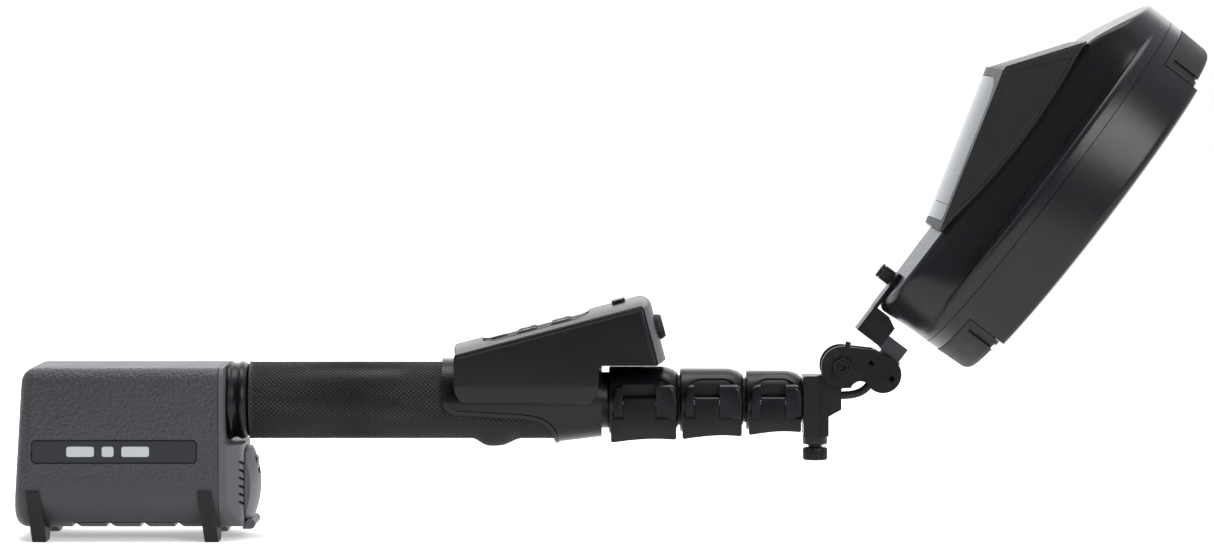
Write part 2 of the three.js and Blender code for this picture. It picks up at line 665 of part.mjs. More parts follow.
function leverPin(lock) {
  const { start, end, radius } = lock;
  return rodX(start + ear.start, end - 1, lever.pinRadius, -radius - lever.pivotOut, lever.pivotZ);
}

function buildPole() {
  for (const number of [2, 3, 4]) placeTube(number);
  locks.forEach((lock, i) => {
    place(assembly, `lock_collar_${i + 1}`, lockCollar(lock, tubes[i], tubes[i + 1]), finish.smoothPlastic);
    place(assembly, `lock_lever_${i + 1}`, lockLever(lock), finish.smoothPlastic);
    place(assembly, `lever_pin_${i + 1}`, leverPin(lock), finish.bareMetal);
  });
}

// ---------------------------------------------------------------- pole end and knuckle

function endBracket() {
  const { wideLength, length, top, bottom, halfWidth, lugHalf } = bracket;
  const { nose, noseTop, noseBottom, spigot, boss } = bracket;
  const last = tubes[3];
  const at = bracketStart;
  const block = roundedRectangle(at, at + wideLength, bottom, top, 1.5);
  const outline = [
    [at + 1, bottom], [at + length, bottom], [at + length, noseBottom - 3.6], [at + nose, noseBottom],
    [at + nose, noseTop], [at + hinge.x + 3.6, noseTop], [at + hinge.x + 3.6, top], [at + 1, top],
  ];
  let made = slabXZ(block, -halfWidth, halfWidth).add(slabXZ(outline, -lugHalf, lugHalf));
  made = made.add(rodY(-lugHalf, lugHalf, hinge.lugRadius, at + hinge.x, hinge.z, round));
  made = made.add(rodZ(bottom - boss, bottom + cut, knob.radius, at + knob.x));
  const plugRadius = last.bore - gap;
  made = made.subtract(ringX(at - cut, last.end + gap, plugRadius, last.radius + gap));
  made = made.add(ringX(at - spigot, at + wideLength, plugRadius - 3, plugRadius));
  made = made.subtract(rodX(at - spigot - cut, at + nose - 8, plugRadius - 3));
  made = made.subtract(rodX(at, at + nose + cut, lead.diameter / 2 + gap, 0, leadExit()));
  made = made.subtract(rodZ(bottom - boss - cut, -last.radius, knob.shankRadius + gap, at + knob.x));
  return made.subtract(rodY(-lugHalf - cut, lugHalf + cut, hinge.boltRadius + gap, at + hinge.x, hinge.z));
}

const leadExit = () => (bracket.noseTop + bracket.noseBottom) / 2 + 1.5;

function clampKnob() {
  const top = bracket.bottom - bracket.boss - gap;
  const x = bracketStart + knob.x;
  let made = rodZ(top - knob.neck - knob.height, top - knob.neck, knob.radius, x, 0, 16);
  made = made.add(rodZ(top - knob.neck - cut, top, knob.neckRadius, x));
  return made.add(rodZ(top - cut, -tubes[3].radius - gap, knob.shankRadius, x));
}

// Two lobes, one on the tilt axis and one over the swivel bearing, joined by a waisted web.
function knucklePlate(y0, y1, withTab) {
  const near = rodY(y0, y1, plate.radius, 0, 0, round);
  const [farX, farZ] = [20.9, -3.8];
  const far = rodY(y0, y1, plate.farRadius, farX, farZ, round);
  const web = [
    [0, -plate.radius], [farX - 7.3, farZ - 6.5], [farX - 2.1, farZ - 9.2], [farX + 7.3, farZ + 6.4],
    [farX - 4.1, farZ + 12.7], [0, plate.radius],
  ];
  let made = near.add(far).add(slabXZ(web, y0, y1));
  made = made.subtract(rodY(y0 - cut, y1 + cut, 5.2, 9.4, -12.4));
  if (withTab) {
    const tab = box(-plate.tab / 2, plate.tab / 2, y0, y1, plate.radius - 1, plate.radius + plate.tab);
    made = made.add(tab.rotate([0, 14, 0]));
  }
  return made.subtract(rodY(y0 - cut, y1 + cut, hinge.boltRadius + gap));
}

// Moves a solid from the neck's own turned frame into the knuckle's level one.
const fromNeck = (made) => made.rotate([0, -headAngle, 0]);

function crossPin(way, reach, margin = 0) {
  const z = shaft.axis + way * pinCross.spread;
  return fromNeck(rodY(-reach, reach, pinCross.radius + margin, pinCross.along, z));
}

function knuckleCore() {
  const { rear, front, halfHeight, halfWidth, reliefRadius } = core;
  let made = box(rear, front, -halfWidth, halfWidth, shaft.axis - halfHeight, shaft.axis + halfHeight);
  made = made.subtract(rodX(shaft.rear - gap, front + cut, shaft.radius + gap, 0, shaft.axis, round));
  made = fromNeck(made).subtract(rodY(-halfWidth - cut, halfWidth + cut, reliefRadius, 0, 0, round));
  made = made.intersect(knucklePlate(-halfWidth, halfWidth, false));
  for (const way of [-1, 1]) made = made.subtract(crossPin(way, halfWidth + cut, gap));
  return made;
}

function swivelShaft() {
  const { axis, radius, grooveRadius, grooveHalf, rear, front, flangeEnd, flangeDrop } = shaft;
  const [g0, g1] = [pinCross.along - grooveHalf, pinCross.along + grooveHalf];
  const journal = spunX([
    [rear, 0], [rear, radius], [g0, radius], [g0, grooveRadius], [g1, grooveRadius], [g1, radius],
    [front, radius], [front, 0],
  ]).translate([0, 0, axis]);
  const half = shaft.flangeHalf;
  const flange = box(front - 0.2, flangeEnd, -half, half, axis - flangeDrop, neck.bottom - gap);
  return fromNeck(journal.add(flange));
}

// A block over the shaft's flange, and a strap along the head's top that the heel screw holds down.
function neckBlock() {
  const { rear, front, bottom, top, halfWidth, strap, strapEnd, chamfer } = neck;
  const block = [
    [rear, bottom], [front - chamfer / 2, bottom], [front, bottom + chamfer], [front, top + strap],
    [rear, top + strap],
  ];
  let made = slabXZ(block, -halfWidth, halfWidth);
  made = made.add(box(front - cut, strapEnd, -halfWidth, halfWidth, top + gap, top + gap + strap));
  return made.subtract(rodZ(top - cut, top + 5, screw.shankRadius + gap, screwAlong()));
}

const screwAlong = () => headReach + head.heelX + screw.fromHeel;

function buildKnuckle() {
  place(assembly, "end_bracket", endBracket(), finish.smoothPlastic);
  place(assembly, "clamp_knob", clampKnob(), finish.blackMetal);
  const knuckle = groupAt(assembly, bracketStart + hinge.x, 0, hinge.z);
  const outer = plate.inner + plate.thickness;
  const holes = (made) => made.subtract(crossPin(-1, 30, gap)).subtract(crossPin(1, 30, gap));
  place(knuckle, "knuckle_plate_near", holes(knucklePlate(-outer, -plate.inner, true)), finish.blackMetal);
  place(knuckle, "knuckle_plate_far", holes(knucklePlate(plate.inner, outer, false)), finish.blackMetal);
  place(knuckle, "knuckle_core", knuckleCore(), finish.blackMetal);
  place(knuckle, "cross_pin_lower", crossPin(-1, outer + 0.3), finish.bareMetal);
  place(knuckle, "cross_pin_upper", crossPin(1, outer + 0.3), finish.bareMetal);
  place(knuckle, "swivel_shaft", swivelShaft(), finish.bareMetal);
  place(knuckle, "neck_block", fromNeck(neckBlock()), finish.smoothPlastic);
  const { boltRadius, headRadius, headHeight, nutAcross } = hinge;
  const bolt = rodY(-outer - gap - headHeight, outer + cut, boltRadius);
  const cap = rodY(outer + gap, outer + gap + headHeight, headRadius);
  place(knuckle, "tilt_bolt", bolt.add(cap), finish.blackMetal);
  const nutRadius = nutAcross / 2 / Math.cos(Math.PI / 6);
  const nut = rodY(-outer - gap - headHeight + 0.5, -outer - gap, nutRadius, 0, 0, 6);
  place(knuckle, "tilt_nut", nut.subtract(rodY(-30, 0, boltRadius + gap)), finish.blackMetal);
  return knuckle;
}

// The short cable that leaves the bracket's nose and bends up into the knuckle.
function buildLead() {
  const start = new THREE.Vector3(bracketStart + bracket.nose - 6, 0, leadExit());
  const turn = THREE.MathUtils.degToRad(headAngle);
  const along = new THREE.Vector3(Math.cos(turn), 0, Math.sin(turn));
  const across = new THREE.Vector3(-Math.sin(turn), 0, Math.cos(turn));
  const end = new THREE.Vector3(bracketStart + hinge.x, 0, hinge.z)
    .addScaledVector(along, core.rear - 2 * gap)
    .addScaledVector(across, shaft.axis);
  const leaving = start.clone().add(new THREE.Vector3(12, 0, -lead.sag / 3));
  const route = new THREE.CubicBezierCurve3(start, leaving, end.clone().addScaledVector(along, -6), end);
  const section = new THREE.Shape().absarc(0, 0, lead.diameter / 2, 0, 2 * Math.PI);
  const made = new THREE.ExtrudeGeometry(section, { extrudePath: route, steps: 12, curveSegments: 5 });
  place(assembly, "head_lead", solid(made), finish.rubber);
}

// ---------------------------------------------------------------- head

// A profile of [height, reach along the head] pairs, spun and then drawn in across the head to make it oval.
const oval = (profile) => spunZ(profile, 48).scale([1, head.halfWidth / head.halfLength, 1]);

// The outline of the lower shell, closed at the seam: flat rim, round edge and a shallow dome.
function lowerOutside(reach, rim, dome, edge) {
  return oval([
    [dome, 0], [dome + 0.3 * (rim - dome), reach * 0.5], [rim, reach - 2.2 * edge],
    [rim + 0.3 * edge, reach - edge], [rim + edge, reach], [0, reach], [0, 0],
  ]);
}

function headBase() {
  const { halfLength, halfWidth, rim, dome, edge, wall } = head;
  const middle = box(gap - bumper.from, bumper.from - gap, -halfWidth - cut, halfWidth + cut, dome - cut, cut);
  const full = lowerOutside(halfLength, rim, dome, edge).intersect(middle);
  const coreReach = halfLength - bumper.thickness;
  const under = bumper.bottom + bumper.thickness;
  const ends = lowerOutside(coreReach, under, under, edge);
  const above = oval([[bumper.top + gap, 0], [bumper.top + gap, halfLength], [0, halfLength], [0, 0]]);
  let made = full.add(ends).add(above);
  const inner = coreReach - wall;
  const floor = under + wall;
  made = made.subtract(oval([[floor, 0], [floor, inner], [cut, inner], [cut, 0]]));
  const well = bumper.from - 8;
  return made.subtract(oval([[rim + wall, 0], [rim + wall, well], [cut, well], [cut, 0]]));
}

function headBumper(way) {
  const { halfLength, halfWidth, edge } = head;
  const { from, top, bottom, thickness, proud } = bumper;
  const outside = lowerOutside(halfLength + proud, bottom, bottom, edge)
    .subtract(oval([[top, 0], [top, 2 * halfLength], [cut, 2 * halfLength], [cut, 0]]));
  const reach = halfLength - thickness + gap;
  const inside = lowerOutside(reach, bottom + thickness - gap, bottom + thickness - gap, edge);
  const [x0, x1] = [way * from, way * (halfLength + 5)].sort((a, b) => a - b);
  return outside.subtract(inside).intersect(box(x0, x1, -halfWidth - cut, halfWidth + cut, bottom - cut, top));
}

// The saddle's side view: a tall heel, a flat top and a slope down to the tip, drawn in by a wall.
function saddleSide(inset, low) {
  const { heelX, heelRound, top, tipSlope, tipDrop, halfLength } = head;
  return [
    [heelX + inset, low], [halfLength - 1.6 - inset, low], [halfLength - 1.6 - inset, tipDrop - inset],
    [halfLength - tipSlope - 0.3 * inset, top - inset], [heelX + heelRound + inset, top - inset],
    [heelX + inset, top - heelRound - inset],
  ];
}

function headCover() {
  const { halfLength, wall, ledge, ledgeRise, saddleHalf, top, heelX } = head;
  const low = gap;
  const skirt = oval([
    [low, 0], [low, halfLength], [ledge, halfLength], [ledge + ledgeRise, saddleHalf], [ledge + ledgeRise, 0],
  ]);
  const trim = oval([[low, 0], [low, -heelX], [top + cut, -heelX], [top + cut, 0]]);
  const raised = slabXZ(saddleSide(0, low), -saddleHalf, saddleHalf).intersect(trim);
  let made = skirt.add(raised);
  const inner = halfLength - bumper.thickness - wall;
  made = made.subtract(oval([[low - cut, 0], [low - cut, inner], [ledge - wall, inner], [ledge - wall, 0]]));
  const hollow = oval([[low - cut, 0], [low - cut, inner], [top, inner], [top, 0]]);
  const within = slabXZ(saddleSide(wall, low - cut), wall - saddleHalf, saddleHalf - wall);
  made = made.subtract(within.intersect(hollow));
  made = made.subtract(box(-12, 12, -20, 20, top - wall - cut, top + cut));
  const x = heelX + screw.fromHeel;
  return made.subtract(rodZ(top - wall - cut, top + cut, screw.shankRadius + gap, x));
}

// The display's side view: a long sloping face, a narrow flat apex and a steep back, drawn in by a wall.
function displaySide(inset) {
  const { rear, apex, front, rearTop, apexTop, apexFlat } = display;
  const low = head.top + gap;
  return [
    [rear + inset, low + inset], [front - 1.6 * inset, low + inset],
    [apex + apexFlat - 0.3 * inset, apexTop - inset], [apex - 0.2 * inset, apexTop - inset],
    [rear + inset, rearTop + (inset ? 0.2 : 0)],
  ];
}

const displaySlope = () =>
  THREE.MathUtils.radToDeg(Math.atan2(display.apexTop - display.rearTop, display.apex - display.rear));

// Turns a solid made flat at the origin onto the display's sloping face, centred on it.
function ontoDisplay(made) {
  const x = (display.apex + display.rear) / 2;
  const z = (display.apexTop + display.rearTop) / 2;
  return made.rotate([0, -displaySlope(), 0]).translate([x, 0, z]);
}

function faceOutline(margin) {
  const { apex, rear, halfWidth, bezel } = display;
  const half = (apex - rear) / 2 / Math.cos(THREE.MathUtils.degToRad(displaySlope())) - bezel - margin;
  const side = halfWidth - bezel - margin;
  return roundedRectangle(-half, half, -side, side, 5);
}

// What lies under the crowned face, for a stretch of the face from its lower end.
function underCrown(depth) {
  const { apex, rear, halfWidth, crown } = display;
  const half = (apex - rear) / 2 / Math.cos(THREE.MathUtils.degToRad(displaySlope()));
  return ontoDisplay(slabYZ(crowned(halfWidth, depth, crown), -half, half));
}

function displayHousing() {
  const { halfWidth, glass } = display;
  const plan = roundedRectangle(display.rear, display.front, -halfWidth, halfWidth, 9);
  let made = slabXZ(displaySide(0), -halfWidth, halfWidth).add(underCrown(0.2));
  made = made.intersect(slabXY(plan, head.top, display.apexTop + 2 * display.crown));
  made = made.subtract(ontoDisplay(slabXY(faceOutline(0), -glass - gap, glass + 5)));
  const well = ontoDisplay(slabXY(faceOutline(3), -glass - lcd.thickness - 3, glass + cut));
  const floor = box(display.rear, display.front, -halfWidth, halfWidth, head.top + gap + display.wall, 80);
  made = made.subtract(well.intersect(floor));
  return made.subtract(box(-11, 11, -19, 19, head.top - cut, display.apexTop - 5).intersect(
    ontoDisplay(box(-60, 60, -40, 40, -60, -glass))));
}

function buildHead(knuckle) {
  const turned = groupAt(knuckle, 0, 0, 0, headAngle);
  const made = groupAt(turned, headReach, 0, -headDrop);
  place(made, "head_base", headBase(), finish.headPlastic);
  place(made, "head_cover", headCover(), finish.headPlastic);
  place(made, "bumper_tip", headBumper(1), finish.rubber);
  place(made, "bumper_heel", headBumper(-1), finish.rubber);
  const seat = head.halfLength - bumper.thickness - head.wall - 0.5;
  const { z, thickness } = antenna;
  const antennaDisc = oval([[z, 0], [z, seat], [z + thickness, seat], [z + thickness, 0]]);
  place(made, "antenna_plate", antennaDisc, finish.copper);
  const side = head.saddleHalf - head.wall - gap;
  const electronics = box(-70, 62, -side, side, 12, 12 + board.thickness).add(box(-30, 20, -25, 25, 13, 20));
  place(made, "head_board", electronics, finish.boardGreen);
  place(made, "display_housing", displayHousing(), finish.headPlastic);
  const pane = ontoDisplay(slabXY(faceOutline(gap), -display.glass, 2 * display.crown)).intersect(
    underCrown(display.glass + cut),
  );
  place(made, "display_glass", pane, finish.glass);
  const under = -display.glass - 2 * gap;
  const [from, to] = [lcd.towardsApex - lcd.length / 2, lcd.towardsApex + lcd.length / 2];
  const panel = ontoDisplay(box(from, to, -lcd.halfWidth, lcd.halfWidth, under - lcd.thickness, under));
  place(made, "lcd_panel", panel, finish.glass);
  const x = head.heelX + screw.fromHeel;
  const strapTop = head.top + gap + neck.strap;
  const grip = rodZ(strapTop + gap, strapTop + gap + screw.height, screw.radius, x, 0, 16);
  const shank = rodZ(strapTop - screw.shank, strapTop + cut, screw.shankRadius, x);
  place(made, "heel_screw", grip.add(shank), finish.blackMetal);
}

// ---------------------------------------------------------------- assembly

buildHousing();
buildHandle();
buildPole();
const knuckle = buildKnuckle();
buildLead();
buildHead(knuckle);

const root = new THREE.Group();
root.add(assembly);
const extent = new THREE.Box3().setFromObject(assembly, true);
const middle = extent.getCenter(new THREE.Vector3());
assembly.position.set(-middle.x, -middle.y, -extent.min.z);

export default root;
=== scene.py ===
# %% [markdown]
# # A folding search detector, built up in Blender
#
# The detector is one row of parts along a pole: a battery housing, a rubber grip with a console on top,
# three flip locks on a telescopic pole, a knuckle, and an oval head that carries a display.
# The CAD model is loaded first. It fixes every size and every joint, and each piece made here is built
# around it, so that nothing has to be fitted by eye.

# %% Load the CAD frame
import math

import bmesh
import bpy
from mathutils import Matrix, Vector


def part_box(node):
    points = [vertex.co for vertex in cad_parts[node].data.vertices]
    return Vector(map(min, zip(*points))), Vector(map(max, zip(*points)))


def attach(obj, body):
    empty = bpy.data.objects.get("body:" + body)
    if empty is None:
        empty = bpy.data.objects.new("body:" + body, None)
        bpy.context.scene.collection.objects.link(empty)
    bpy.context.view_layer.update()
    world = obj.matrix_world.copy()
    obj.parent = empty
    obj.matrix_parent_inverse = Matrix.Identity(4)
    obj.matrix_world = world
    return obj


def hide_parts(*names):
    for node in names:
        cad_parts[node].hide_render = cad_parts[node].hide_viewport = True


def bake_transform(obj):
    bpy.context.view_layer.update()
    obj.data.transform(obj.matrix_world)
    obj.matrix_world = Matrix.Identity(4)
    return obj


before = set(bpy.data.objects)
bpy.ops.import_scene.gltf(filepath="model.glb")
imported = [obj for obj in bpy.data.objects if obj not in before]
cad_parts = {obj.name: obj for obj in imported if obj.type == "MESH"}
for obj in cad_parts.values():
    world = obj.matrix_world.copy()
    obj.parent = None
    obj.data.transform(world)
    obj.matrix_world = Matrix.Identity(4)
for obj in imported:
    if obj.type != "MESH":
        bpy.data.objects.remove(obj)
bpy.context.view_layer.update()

# %% [markdown]
# ## Working in millimetres
#
# Blender works in metres, but a maker thinks of this tool in millimetres along the pole. Each piece is
# therefore drawn in millimetres in a local frame, and a matrix puts it into the scene at the end.
# There are three such frames: the pole's, the knuckle's (on the tilt axis) and the head's, which leans.

# %% Local frames
MM = 0.001
HEAD_ANGLE = math.radians(52.8)
HEAD_REACH = 140
HEAD_DROP = 27.3

rear_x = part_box("housing_shell")[0].x
axis_z = sum(corner.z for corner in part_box("handle_tube")) / 2
tilt_axis = sum(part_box("tilt_bolt"), Vector()) / 2
millimetres = Matrix.Scale(MM, 4)
pole_frame = Matrix.Translation((rear_x, 0, axis_z)) @ millimetres
knuckle_frame = Matrix.Translation(tilt_axis) @ millimetres
neck_frame = knuckle_frame @ Matrix.Rotation(-HEAD_ANGLE, 4, "Y")
head_frame = neck_frame @ Matrix.Translation((HEAD_REACH, 0, -HEAD_DROP))


def span(node):
    """Lowest and highest corner of a CAD node, in millimetres of the pole's frame."""
    to_local = pole_frame.inverted()
    return [to_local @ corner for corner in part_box(node)]


print("pole axis at", round(axis_z, 4), "m, tilt axis at", [round(v, 4) for v in tilt_axis])

# %% [markdown]
# ## The camera
#
# A long lens from 2.6 m away shows the tool almost square on, with a little perspective. It looks very
# slightly down, which lets the far edges of the head and the knuckle peep out above the near ones.

# %% Camera
CAMERA_DISTANCE = 2.6
CAMERA_PITCH = math.radians(2.285)
aim = Vector((rear_x + 0.3028, 0, axis_z + 0.0657))
camera_data = bpy.data.cameras.new("studio_camera")
camera_data.lens = 149.7
camera_data.sensor_width = 36
camera_data.clip_start = 0.05
camera_data.clip_end = 50
camera = bpy.data.objects.new("studio_camera", camera_data)
back = Vector((0, -math.cos(CAMERA_PITCH), math.sin(CAMERA_PITCH)))
camera.location = aim + back * CAMERA_DISTANCE
camera.rotation_euler = (math.pi / 2 - CAMERA_PITCH, 0, 0)
bpy.context.scene.collection.objects.link(camera)
bpy.context.scene.camera = camera
print("camera at", [round(v, 3) for v in camera.location])

# %% [markdown]
# ## A white light tent
#
# Black plastic shows its shape only through what it mirrors. Product photographers surround such an object
# with white cloth, so that every edge and every face seen at a low angle picks up a pale sheen. Here the
# world and the floor are pale, with a dark gap in front. One soft lamp hangs overhead, one stands behind,
# a weak one fills the front, and a broad one draws the highlight along the side of the head.

# %% World, floor and lamps
bpy.context.scene.view_settings.view_transform = "Standard"


def light_tent():
    """White cloth all round, except for a dark gap towards the front, where the photographer stands."""
    world = bpy.data.worlds.new("light_tent")
    bpy.context.scene.world = world
    world.use_nodes = True
    tree = world.node_tree
    cloth = tree.nodes["Background"]
    place = tree.nodes.new("ShaderNodeTexCoord")
    facing = tree.nodes.new("ShaderNodeVectorMath")
    facing.operation = "DOT_PRODUCT"
    facing.inputs[1].default_value = Vector((0, -1, -0.1)).normalized()
    tree.links.new(place.outputs["Generated"], facing.inputs[0])
    gap = tree.nodes.new("ShaderNodeMapRange")
    gap.interpolation_type = "SMOOTHSTEP"
    for socket, value in {"From Min": -0.1, "From Max": 0.75, "To Min": 1.0, "To Max": 0.05}.items():
        gap.inputs[socket].default_value = value
    tree.links.new(facing.outputs["Value"], gap.inputs["Value"])
    tree.links.new(gap.outputs["Result"], cloth.inputs["Strength"])
    cloth.inputs["Color"].default_value = (0.93, 0.96, 1, 1)
    backdrop = tree.nodes.new("ShaderNodeBackground")
    seen = tree.nodes.new("ShaderNodeLightPath")
    choice = tree.nodes.new("ShaderNodeMixShader")
    tree.links.new(seen.outputs["Is Camera Ray"], choice.inputs["Fac"])
    tree.links.new(cloth.outputs["Background"], choice.inputs[1])
    tree.links.new(backdrop.outputs["Background"], choice.inputs[2])
    backdrop.inputs["Color"].default_value = (1, 1, 1, 1)
    tree.links.new(choice.outputs["Shader"], tree.nodes["World Output"].inputs["Surface"])


light_tent()


def floor_material():
    material = bpy.data.materials.new("pale_floor")
    material.use_nodes = True
    shader = material.node_tree.nodes["Principled BSDF"]
    shader.inputs["Base Color"].default_value = (0.94, 0.94, 0.94, 1)
    shader.inputs["Roughness"].default_value = 0.9
    shader.inputs["Emission Color"].default_value = (1, 1, 1, 1)
    shader.inputs["Emission Strength"].default_value = 0.36
    return material


def studio_floor(half=6.0, front=0.8):
    """The floor ends a little in front of the tool, so that its front faces mirror the dark gap instead."""
    shape = bmesh.new()
    bmesh.ops.create_grid(shape, x_segments=1, y_segments=1, size=half)
    bmesh.ops.translate(shape, verts=shape.verts, vec=(0, half - front, 0))
    mesh = bpy.data.meshes.new("floor")
    shape.to_mesh(mesh)
    shape.free()
    mesh.materials.append(floor_material())
    made = bpy.data.objects.new("floor", mesh)
    bpy.context.scene.collection.objects.link(made)
    return made


def soft_lamp(name, place, aim_at, size, watts):
    data = bpy.data.lights.new(name, "AREA")
    data.shape = "RECTANGLE"
    data.size, data.size_y = size
    data.energy = watts
    lamp = bpy.data.objects.new(name, data)
    lamp.location = place
    lamp.rotation_euler = (Vector(aim_at) - Vector(place)).to_track_quat("-Z", "Y").to_euler()
    lamp.visible_camera = False
    bpy.context.scene.collection.objects.link(lamp)
    return lamp


studio_floor()
soft_lamp("overhead", (0, 0.1, 1.5), (0, 0, 0.1), (1.6, 0.7), 16)
soft_lamp("front_fill", (-0.9, -1.7, 0.9), (-0.1, 0, 0.1), (0.5, 0.5), 0.8)
soft_lamp("rear_sky", (0, 2.2, 1.3), (0, 0, 0.1), (3.0, 1.4), 20)
soft_lamp("head_glow", (1.2, -1.9, 1.05), (0.2, 0, 0.15), (1.3, 0.9), 34)

# %% [markdown]
# ## Shape helpers
#
# Nearly every piece here starts from one of three things: a flat outline with round corners that is pushed
# out into a prism, a profile that is spun round an axis, or a block. They are then cut by other
# solids, and a Bevel modifier breaks the edges that are left, as a mould or a file does.

# %% Outlines, prisms, spins and blocks
PLANES = {  # what the outline's two coordinates and the direction of its thickness are
    "XY": Matrix(((1, 0, 0, 0), (0, 1, 0, 0), (0, 0, 1, 0), (0, 0, 0, 1))),
    "XZ": Matrix(((1, 0, 0, 0), (0, 0, 1, 0), (0, 1, 0, 0), (0, 0, 0, 1))),
    "YZ": Matrix(((0, 0, 1, 0), (1, 0, 0, 0), (0, 1, 0, 0), (0, 0, 0, 1))),
}


def outline(points, rounds=(), segments=6):
    """A flat face through the points. rounds gives a corner's number and its radius."""
    made = bmesh.new()
    corners = [made.verts.new((a, b, 0)) for a, b in points]
    made.faces.new(corners)
    for number, radius in dict(rounds).items():
        bmesh.ops.bevel(
            made, geom=[corners[number]], offset=radius, offset_type="OFFSET", segments=segments,
            profile=0.5, affect="VERTICES", material=-1,
        )
    return made


def outward(made):
    bmesh.ops.recalc_face_normals(made, faces=made.faces)
    return made


def prism(points, plane, low, high, rounds=(), segments=6):
    made = outline(points, rounds, segments)
    pushed = bmesh.ops.extrude_face_region(made, geom=made.faces[:])
    moved = [v for v in pushed["geom"] if isinstance(v, bmesh.types.BMVert)]
    bmesh.ops.translate(made, verts=moved, vec=(0, 0, high - low))
    bmesh.ops.translate(made, verts=made.verts, vec=(0, 0, low))
    bmesh.ops.transform(made, matrix=PLANES[plane], verts=made.verts)
    return outward(made)


def rectangle(a0, a1, b0, b1):
    return [(a0, b0), (a1, b0), (a1, b1), (a0, b1)]


def all_round(radius, count=4):
    return {number: radius for number in range(count)}


def block(x0, x1, y0, y1, z0, z1):
    made = bmesh.new()
    bmesh.ops.create_cube(made, size=1)
    bmesh.ops.scale(made, vec=(x1 - x0, y1 - y0, z1 - z0), verts=made.verts)
    bmesh.ops.translate(made, vec=((x0 + x1) / 2, (y0 + y1) / 2, (z0 + z1) / 2), verts=made.verts)
    return made


def revolved(made, steps):
    """Spins a closed outline, drawn as (along, radius), once round the X axis."""
    bmesh.ops.delete(made, geom=made.faces[:], context="FACES_ONLY")
    bmesh.ops.spin(
        made, geom=made.verts[:] + made.edges[:], cent=(0, 0, 0), axis=(1, 0, 0), dvec=(0, 0, 0),
        angle=2 * math.pi, steps=steps, use_merge=True,
    )
    bmesh.ops.remove_doubles(made, verts=made.verts, dist=1e-4)
    bmesh.ops.dissolve_degenerate(made, edges=made.edges, dist=1e-5)
    return outward(made)


def spun(profile, steps=96, rounds=(), segments=4):
    return revolved(outline(profile, rounds, segments), steps)


def turned(made, axis, degrees, centre=(0, 0, 0)):
    bmesh.ops.rotate(
        made, verts=made.verts, cent=centre, matrix=Matrix.Rotation(math.radians(degrees), 3, axis),
    )
    return made


def shifted(made, x=0, y=0, z=0):
    bmesh.ops.translate(made, verts=made.verts, vec=(x, y, z))
    return made


def rod(x0, x1, radius, steps=48, edge=0.0):
    rounds = {1: edge, 2: edge} if edge else ()
    return spun([(x0, 0), (x0, radius), (x1, radius), (x1, 0)], steps, rounds, 3)


def rod_y(y0, y1, radius, x=0, z=0, steps=48, edge=0.0):
    return shifted(turned(rod(y0, y1, radius, steps, edge), "Z", 90), x, 0, z)


def rod_z(z0, z1, radius, x=0, y=0, steps=48, edge=0.0):
    return shifted(turned(rod(z0, z1, radius, steps, edge), "Y", -90), x, y, 0)


# %% [markdown]
# ## Joining and cutting solids
#
# A mould maker cuts recesses with tools, and the Boolean modifier does the same. The helper below applies
# it at once and hands back a plain mesh, so that the finished piece carries no cutter with it.

# %% Boolean helpers
def as_object(made, name="scratch"):
    mesh = bpy.data.meshes.new(name)
    made.to_mesh(mesh)
    made.free()
    thing = bpy.data.objects.new(name, mesh)
    bpy.context.scene.collection.objects.link(thing)
    return thing


def settled(made):
    """Rounds every place to a ten-thousandth of a millimetre, so that faces meant to lie flush really do."""
    for v in made.verts:
        v.co = [round(value, 4) for value in v.co]
    return made


def boolean(made, tool, operation):
    target, cutter = as_object(settled(made)), as_object(settled(tool))
    step = target.modifiers.new("cut", "BOOLEAN")
    step.operation = operation
    step.solver = "EXACT"
    step.object = cutter
    result = bmesh.new()
    result.from_object(target, bpy.context.evaluated_depsgraph_get())
    for thing in (target, cutter):
        mesh = thing.data
        bpy.data.objects.remove(thing)
        bpy.data.meshes.remove(mesh)
    bmesh.ops.remove_doubles(result, verts=result.verts, dist=1e-4)
    return result


def cut(made, *tools):
    for tool in tools:
        made = boolean(made, tool, "DIFFERENCE")
    return made


def joined(made, *others):
    for other in others:
        made = boolean(made, other, "UNION")
    return made


def common(made, *others):
    for other in others:
        made = boolean(made, other, "INTERSECT")
    return made


# %% Finishing a piece
def piece(name, made, place, body, material, nodes=(), edge=0.0, segments=3, sharp=32):
    """Puts a solid into the scene: placed, shaded, bevelled, and tied to its body, with the CAD nodes it
    replaces hidden.
    """
    bmesh.ops.transform(made, matrix=place, verts=made.verts)
    thing = as_object(made, name)
    thing.data.materials.append(material)
    thing.data.shade_smooth()
    thing.data.set_sharp_from_angle(angle=math.radians(sharp))
    if edge:
        bevel = thing.modifiers.new("edges", "BEVEL")
        bevel.width = edge * MM
        bevel.segments = segments
        bevel.limit_method = "ANGLE"
        bevel.angle_limit = math.radians(sharp)
        bevel.miter_outer = "MITER_ARC"
        bevel.harden_normals = True
    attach(thing, body)
    if nodes:
        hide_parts(*([nodes] if isinstance(nodes, str) else nodes))
    print(f"{name}: {len(thing.data.polygons)} faces on {body}")
    return thing


# %% [markdown]
# ## Finishes
#
# Almost everything on the tool is black, but not the same black: textured and satin mouldings, soft rubber,
# anodised aluminium, and glossy windows. What tells them apart is how rough they are, how coarse their
# grain is, and how their edges are worn. On the grip the lighter edges are also painted shade, which keeps
# the knurl's grooves darker than its peaks. Those three effects are built once as node groups and then
# placed in each material with its own values.

# %% Node group helpers
def node_group(name, inputs, outputs):
    group = bpy.data.node_groups.new(name, "ShaderNodeTree")
    for label, value in inputs.items():
        socket = group.interface.new_socket(label, in_out="INPUT", socket_type="NodeSocketFloat")
        socket.default_value = value
    for label in outputs:
        group.interface.new_socket(label, in_out="OUTPUT", socket_type="NodeSocketFloat")
    return group, group.nodes.new("NodeGroupInput"), group.nodes.new("NodeGroupOutput")


